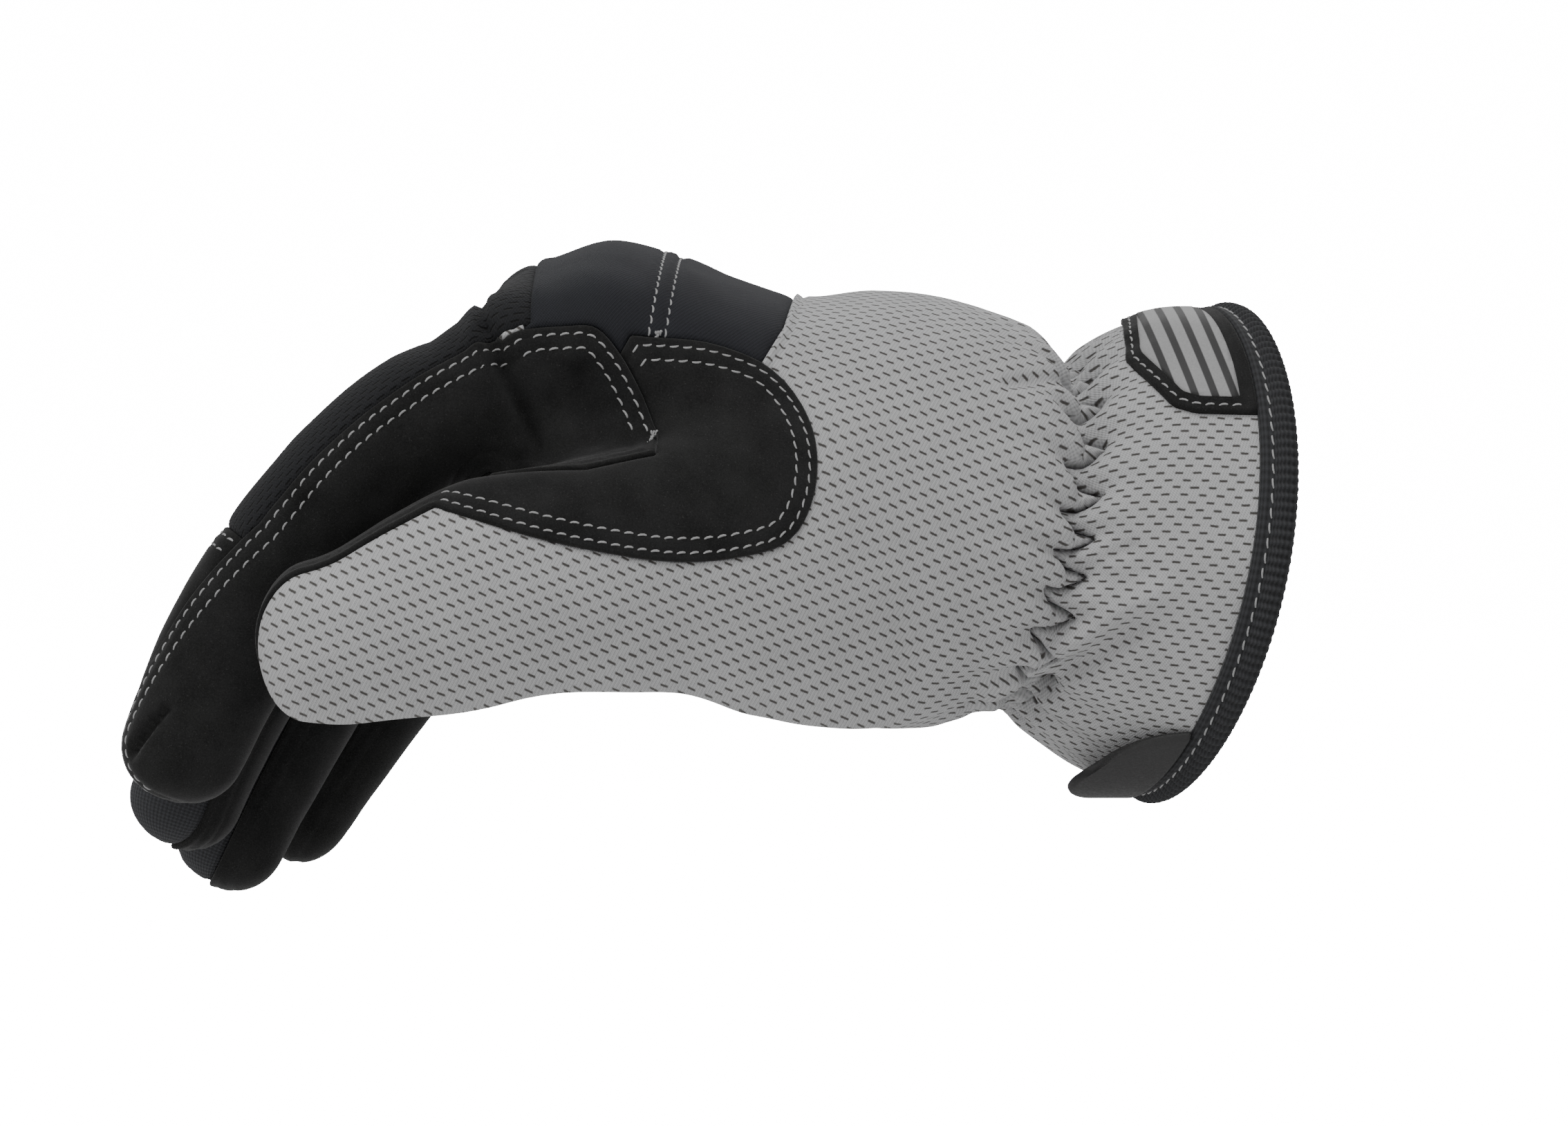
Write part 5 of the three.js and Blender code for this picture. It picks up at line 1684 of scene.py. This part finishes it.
TAPE_SEAM = -4.4  # the stitched hollow between the tape's turned edge and its ribbed roll
BINDING_PROFILE = [
    (-6.3, 0.1), (-6.35, 0.8), (-6.1, 1.25), (-5.5, 1.4), (-4.8, 1.25),
    (-4.4, 0.95), (-4.0, 1.25), (-3.3, 1.85), (-2.2, 2.05), (-1.0, 1.75),
    (-0.1, 0.9), (0.3, -0.5), (0.1, -1.8), (-0.8, -2.8), (-2.4, -3.15),
    (-5.5, -3.15), (-8.2, -3.0), (-8.7, -2.4), (-8.6, -1.95), (-1.9, -1.95),
    (-1.75, -0.8), (-1.9, 0.1),
]


def closed_tube(name, rings, material):
    """A closed ring of closed rings as a mesh of triangles."""
    count, sides = rings.shape[:2]
    i, j = np.meshgrid(np.arange(count), np.arange(sides), indexing="ij")
    a = i * sides + j
    b = i * sides + (j + 1) % sides
    c = ((i + 1) % count) * sides + (j + 1) % sides
    d = ((i + 1) % count) * sides + j
    faces = np.concatenate([np.stack([a, b, c], -1).reshape(-1, 3), np.stack([a, c, d], -1).reshape(-1, 3)])
    return mesh_object(name, rings.reshape(-1, 3), faces, material)


RIB_HEIGHT = 0.26
AROUND = 960  # points round the tape
ACROSS = 44  # points round its profile


def make_binding():
    turns = np.linspace(0, 2 * np.pi, AROUND, endpoint=False)
    profile = np.array(BINDING_PROFILE)
    closed = np.vstack([profile, profile[:1]])
    fine = resampled(closed, ACROSS)[:-1]
    place = fine[None, :, 0]
    offset = fine[None, :, 1] * np.ones((AROUND, 1))
    middle = ring_points(np.array([-4.0]), np.array([0.0]), turns[:, None])[:, 0]
    steps = np.linalg.norm(np.roll(middle, -1, axis=0) - middle, axis=1)
    arc = np.concatenate([[0], np.cumsum(steps[:-1])])
    ribs = round(steps.sum() / RIB_PITCH)
    wave = np.cos(2 * np.pi * ribs * arc / steps.sum())[:, None]
    roll = smooth_step(TAPE_SEAM, TAPE_SEAM + 0.8, place) * smooth_step(-0.3, 0.9, offset)
    rings = ring_points(place, offset + RIB_HEIGHT * wave * roll, turns[:, None])
    piece = closed_tube("cuff_tape", rings[::-1], TAPE)
    belongs(piece, "woven_tape", "cuff_binding")
    along = np.broadcast_to(fine[None, :, 0] + fine[None, :, 1], offset.shape)
    cloth = np.stack([along[::-1].ravel(), np.repeat(arc[::-1], len(fine))], axis=1)
    add_weave(piece, cloth, steps.sum())
    thread = Thread()
    stops = np.append(turns, 2 * np.pi)[::4, None]
    line = ring_points(np.array([TAPE_SEAM]), np.array([1.12]), stops)[:, 0]
    inner = ring_points(np.array([TAPE_SEAM]), np.array([0.0]), stops)[:, 0]
    out = (line - inner) / np.linalg.norm(line - inner, axis=1)[:, None]
    thread.row(line, out, pitch=2.6, length=2.0)
    belongs(thread.piece("tape_stitches", THREAD), "grey_knit")


PATCH_ROW = 1.4  # stitches in from the patch's edge
PRINT_EDGE = 2.9
PRINT_RAISE = 0.16
PATCH_SINK = 0.25  # the patch lies this much lower than its wall and gap would have it


def make_patch(skin):
    c = coordinates(skin.points)
    skin = Skin(skin.points, skin.triangles, {"own": patch_region(c)})
    part, _ = skin.split("own")
    set_depths(part, np.zeros((0, 3)))
    part = with_levels(part, "depth", (0.15, EDGE_ROUND, PATCH_ROW, PRINT_EDGE))
    finish_values(part)
    depth = part.values["depth"]
    height = TRIM_GAP + PATCH_WALL * edge_profile(depth, 0.7) - PATCH_SINK + groove(depth, PATCH_ROW)
    piece, outer = thick_piece("patch", part, height, SUEDE, wall=-0.1)
    belongs(piece, "patch_suede", "label_patch")
    thread = Thread()
    sew(thread, part, outer, "depth", PATCH_ROW, coordinates(part.points)["place"] < -TAPE_WIDTH - 2.2)
    belongs(thread.piece("patch_stitches", THREAD), "grey_knit")
    field = part.picked(part.values["depth"][part.triangles].min(1) > PRINT_EDGE - 0.01)
    rise = PRINT_RAISE * smooth_step(PRINT_EDGE, PRINT_EDGE + 0.3, field.values["depth"])
    top = TRIM_GAP + PATCH_WALL - PATCH_SINK + rise
    piece, _ = thick_piece("patch_print", field, top, PRINT, wall=-(TRIM_GAP + PATCH_WALL - 0.5))
    belongs(piece, "patch_suede")


TAB_GRID = (61, 37)


def make_tab():
    spans = (np.linspace(-1, 1, TAB_GRID[0]), np.linspace(0, 1, TAB_GRID[1]))
    across, along = np.meshgrid(*spans, indexing="ij")
    rim_place = np.array(-TAPE_WIDTH)
    spread = math.radians(TAB_SPREAD) * np.sqrt(1 - 0.8 * along**2)
    turn = -np.pi / 2 + spread * across + math.radians(TAB_TURN)
    edge = np.minimum(1 - np.abs(across), np.minimum(1 - along, 0.2) * 0.8)
    body = edge_profile(edge, 0.06)
    sides = []
    for side in (1, -1):
        offset = TRIM_GAP + TAB_WALL * (0.5 + 0.5 * side * (0.25 + 0.75 * body))
        points = ring_points(rim_place, offset, turn)
        start = points[..., 0] - TRIM_GAP
        points[..., 0] = mix(start, TAB_TIP + 5 * across**2, along)
        sides.append(points)
    n, m = across.shape
    i, j = np.meshgrid(np.arange(n - 1), np.arange(m - 1), indexing="ij")
    a = i * m + j
    top = np.concatenate([np.stack([a, a + m, a + m + 1], -1).reshape(-1, 3),
                          np.stack([a, a + m + 1, a + 1], -1).reshape(-1, 3)])
    loop = [k * m for k in range(n)] + [(n - 1) * m + k for k in range(1, m)]
    loop += [k * m + m - 1 for k in range(n - 2, -1, -1)] + [k for k in range(m - 2, 0, -1)]
    loop = np.array(loop)
    ahead = np.roll(loop, -1)
    rim = np.concatenate([
        np.stack([ahead, loop, loop + n * m], 1),
        np.stack([ahead, loop + n * m, ahead + n * m], 1),
    ])
    points = np.concatenate([sides[0].reshape(-1, 3), sides[1].reshape(-1, 3)])
    faces = np.concatenate([top, top[:, ::-1] + n * m, rim])
    piece = mesh_object("pull_tab_piece", points, faces, TAB)
    belongs(piece, "smooth_tab", "pull_tab")


make_camera()
make_floor()
make_backdrop()
for light in LIGHTS:
    make_light(**light)
whole = lined_skin()
panels = cut_panels(whole)
make_palm(panels["palm"])
make_thumb(panels["thumb"])
make_caps(panels)
make_backs(panels)
make_strips(panels)
make_knuckles(panels["knuckle"])
make_grey(panels["grey"])
make_binding()
make_patch(whole)
make_tab()
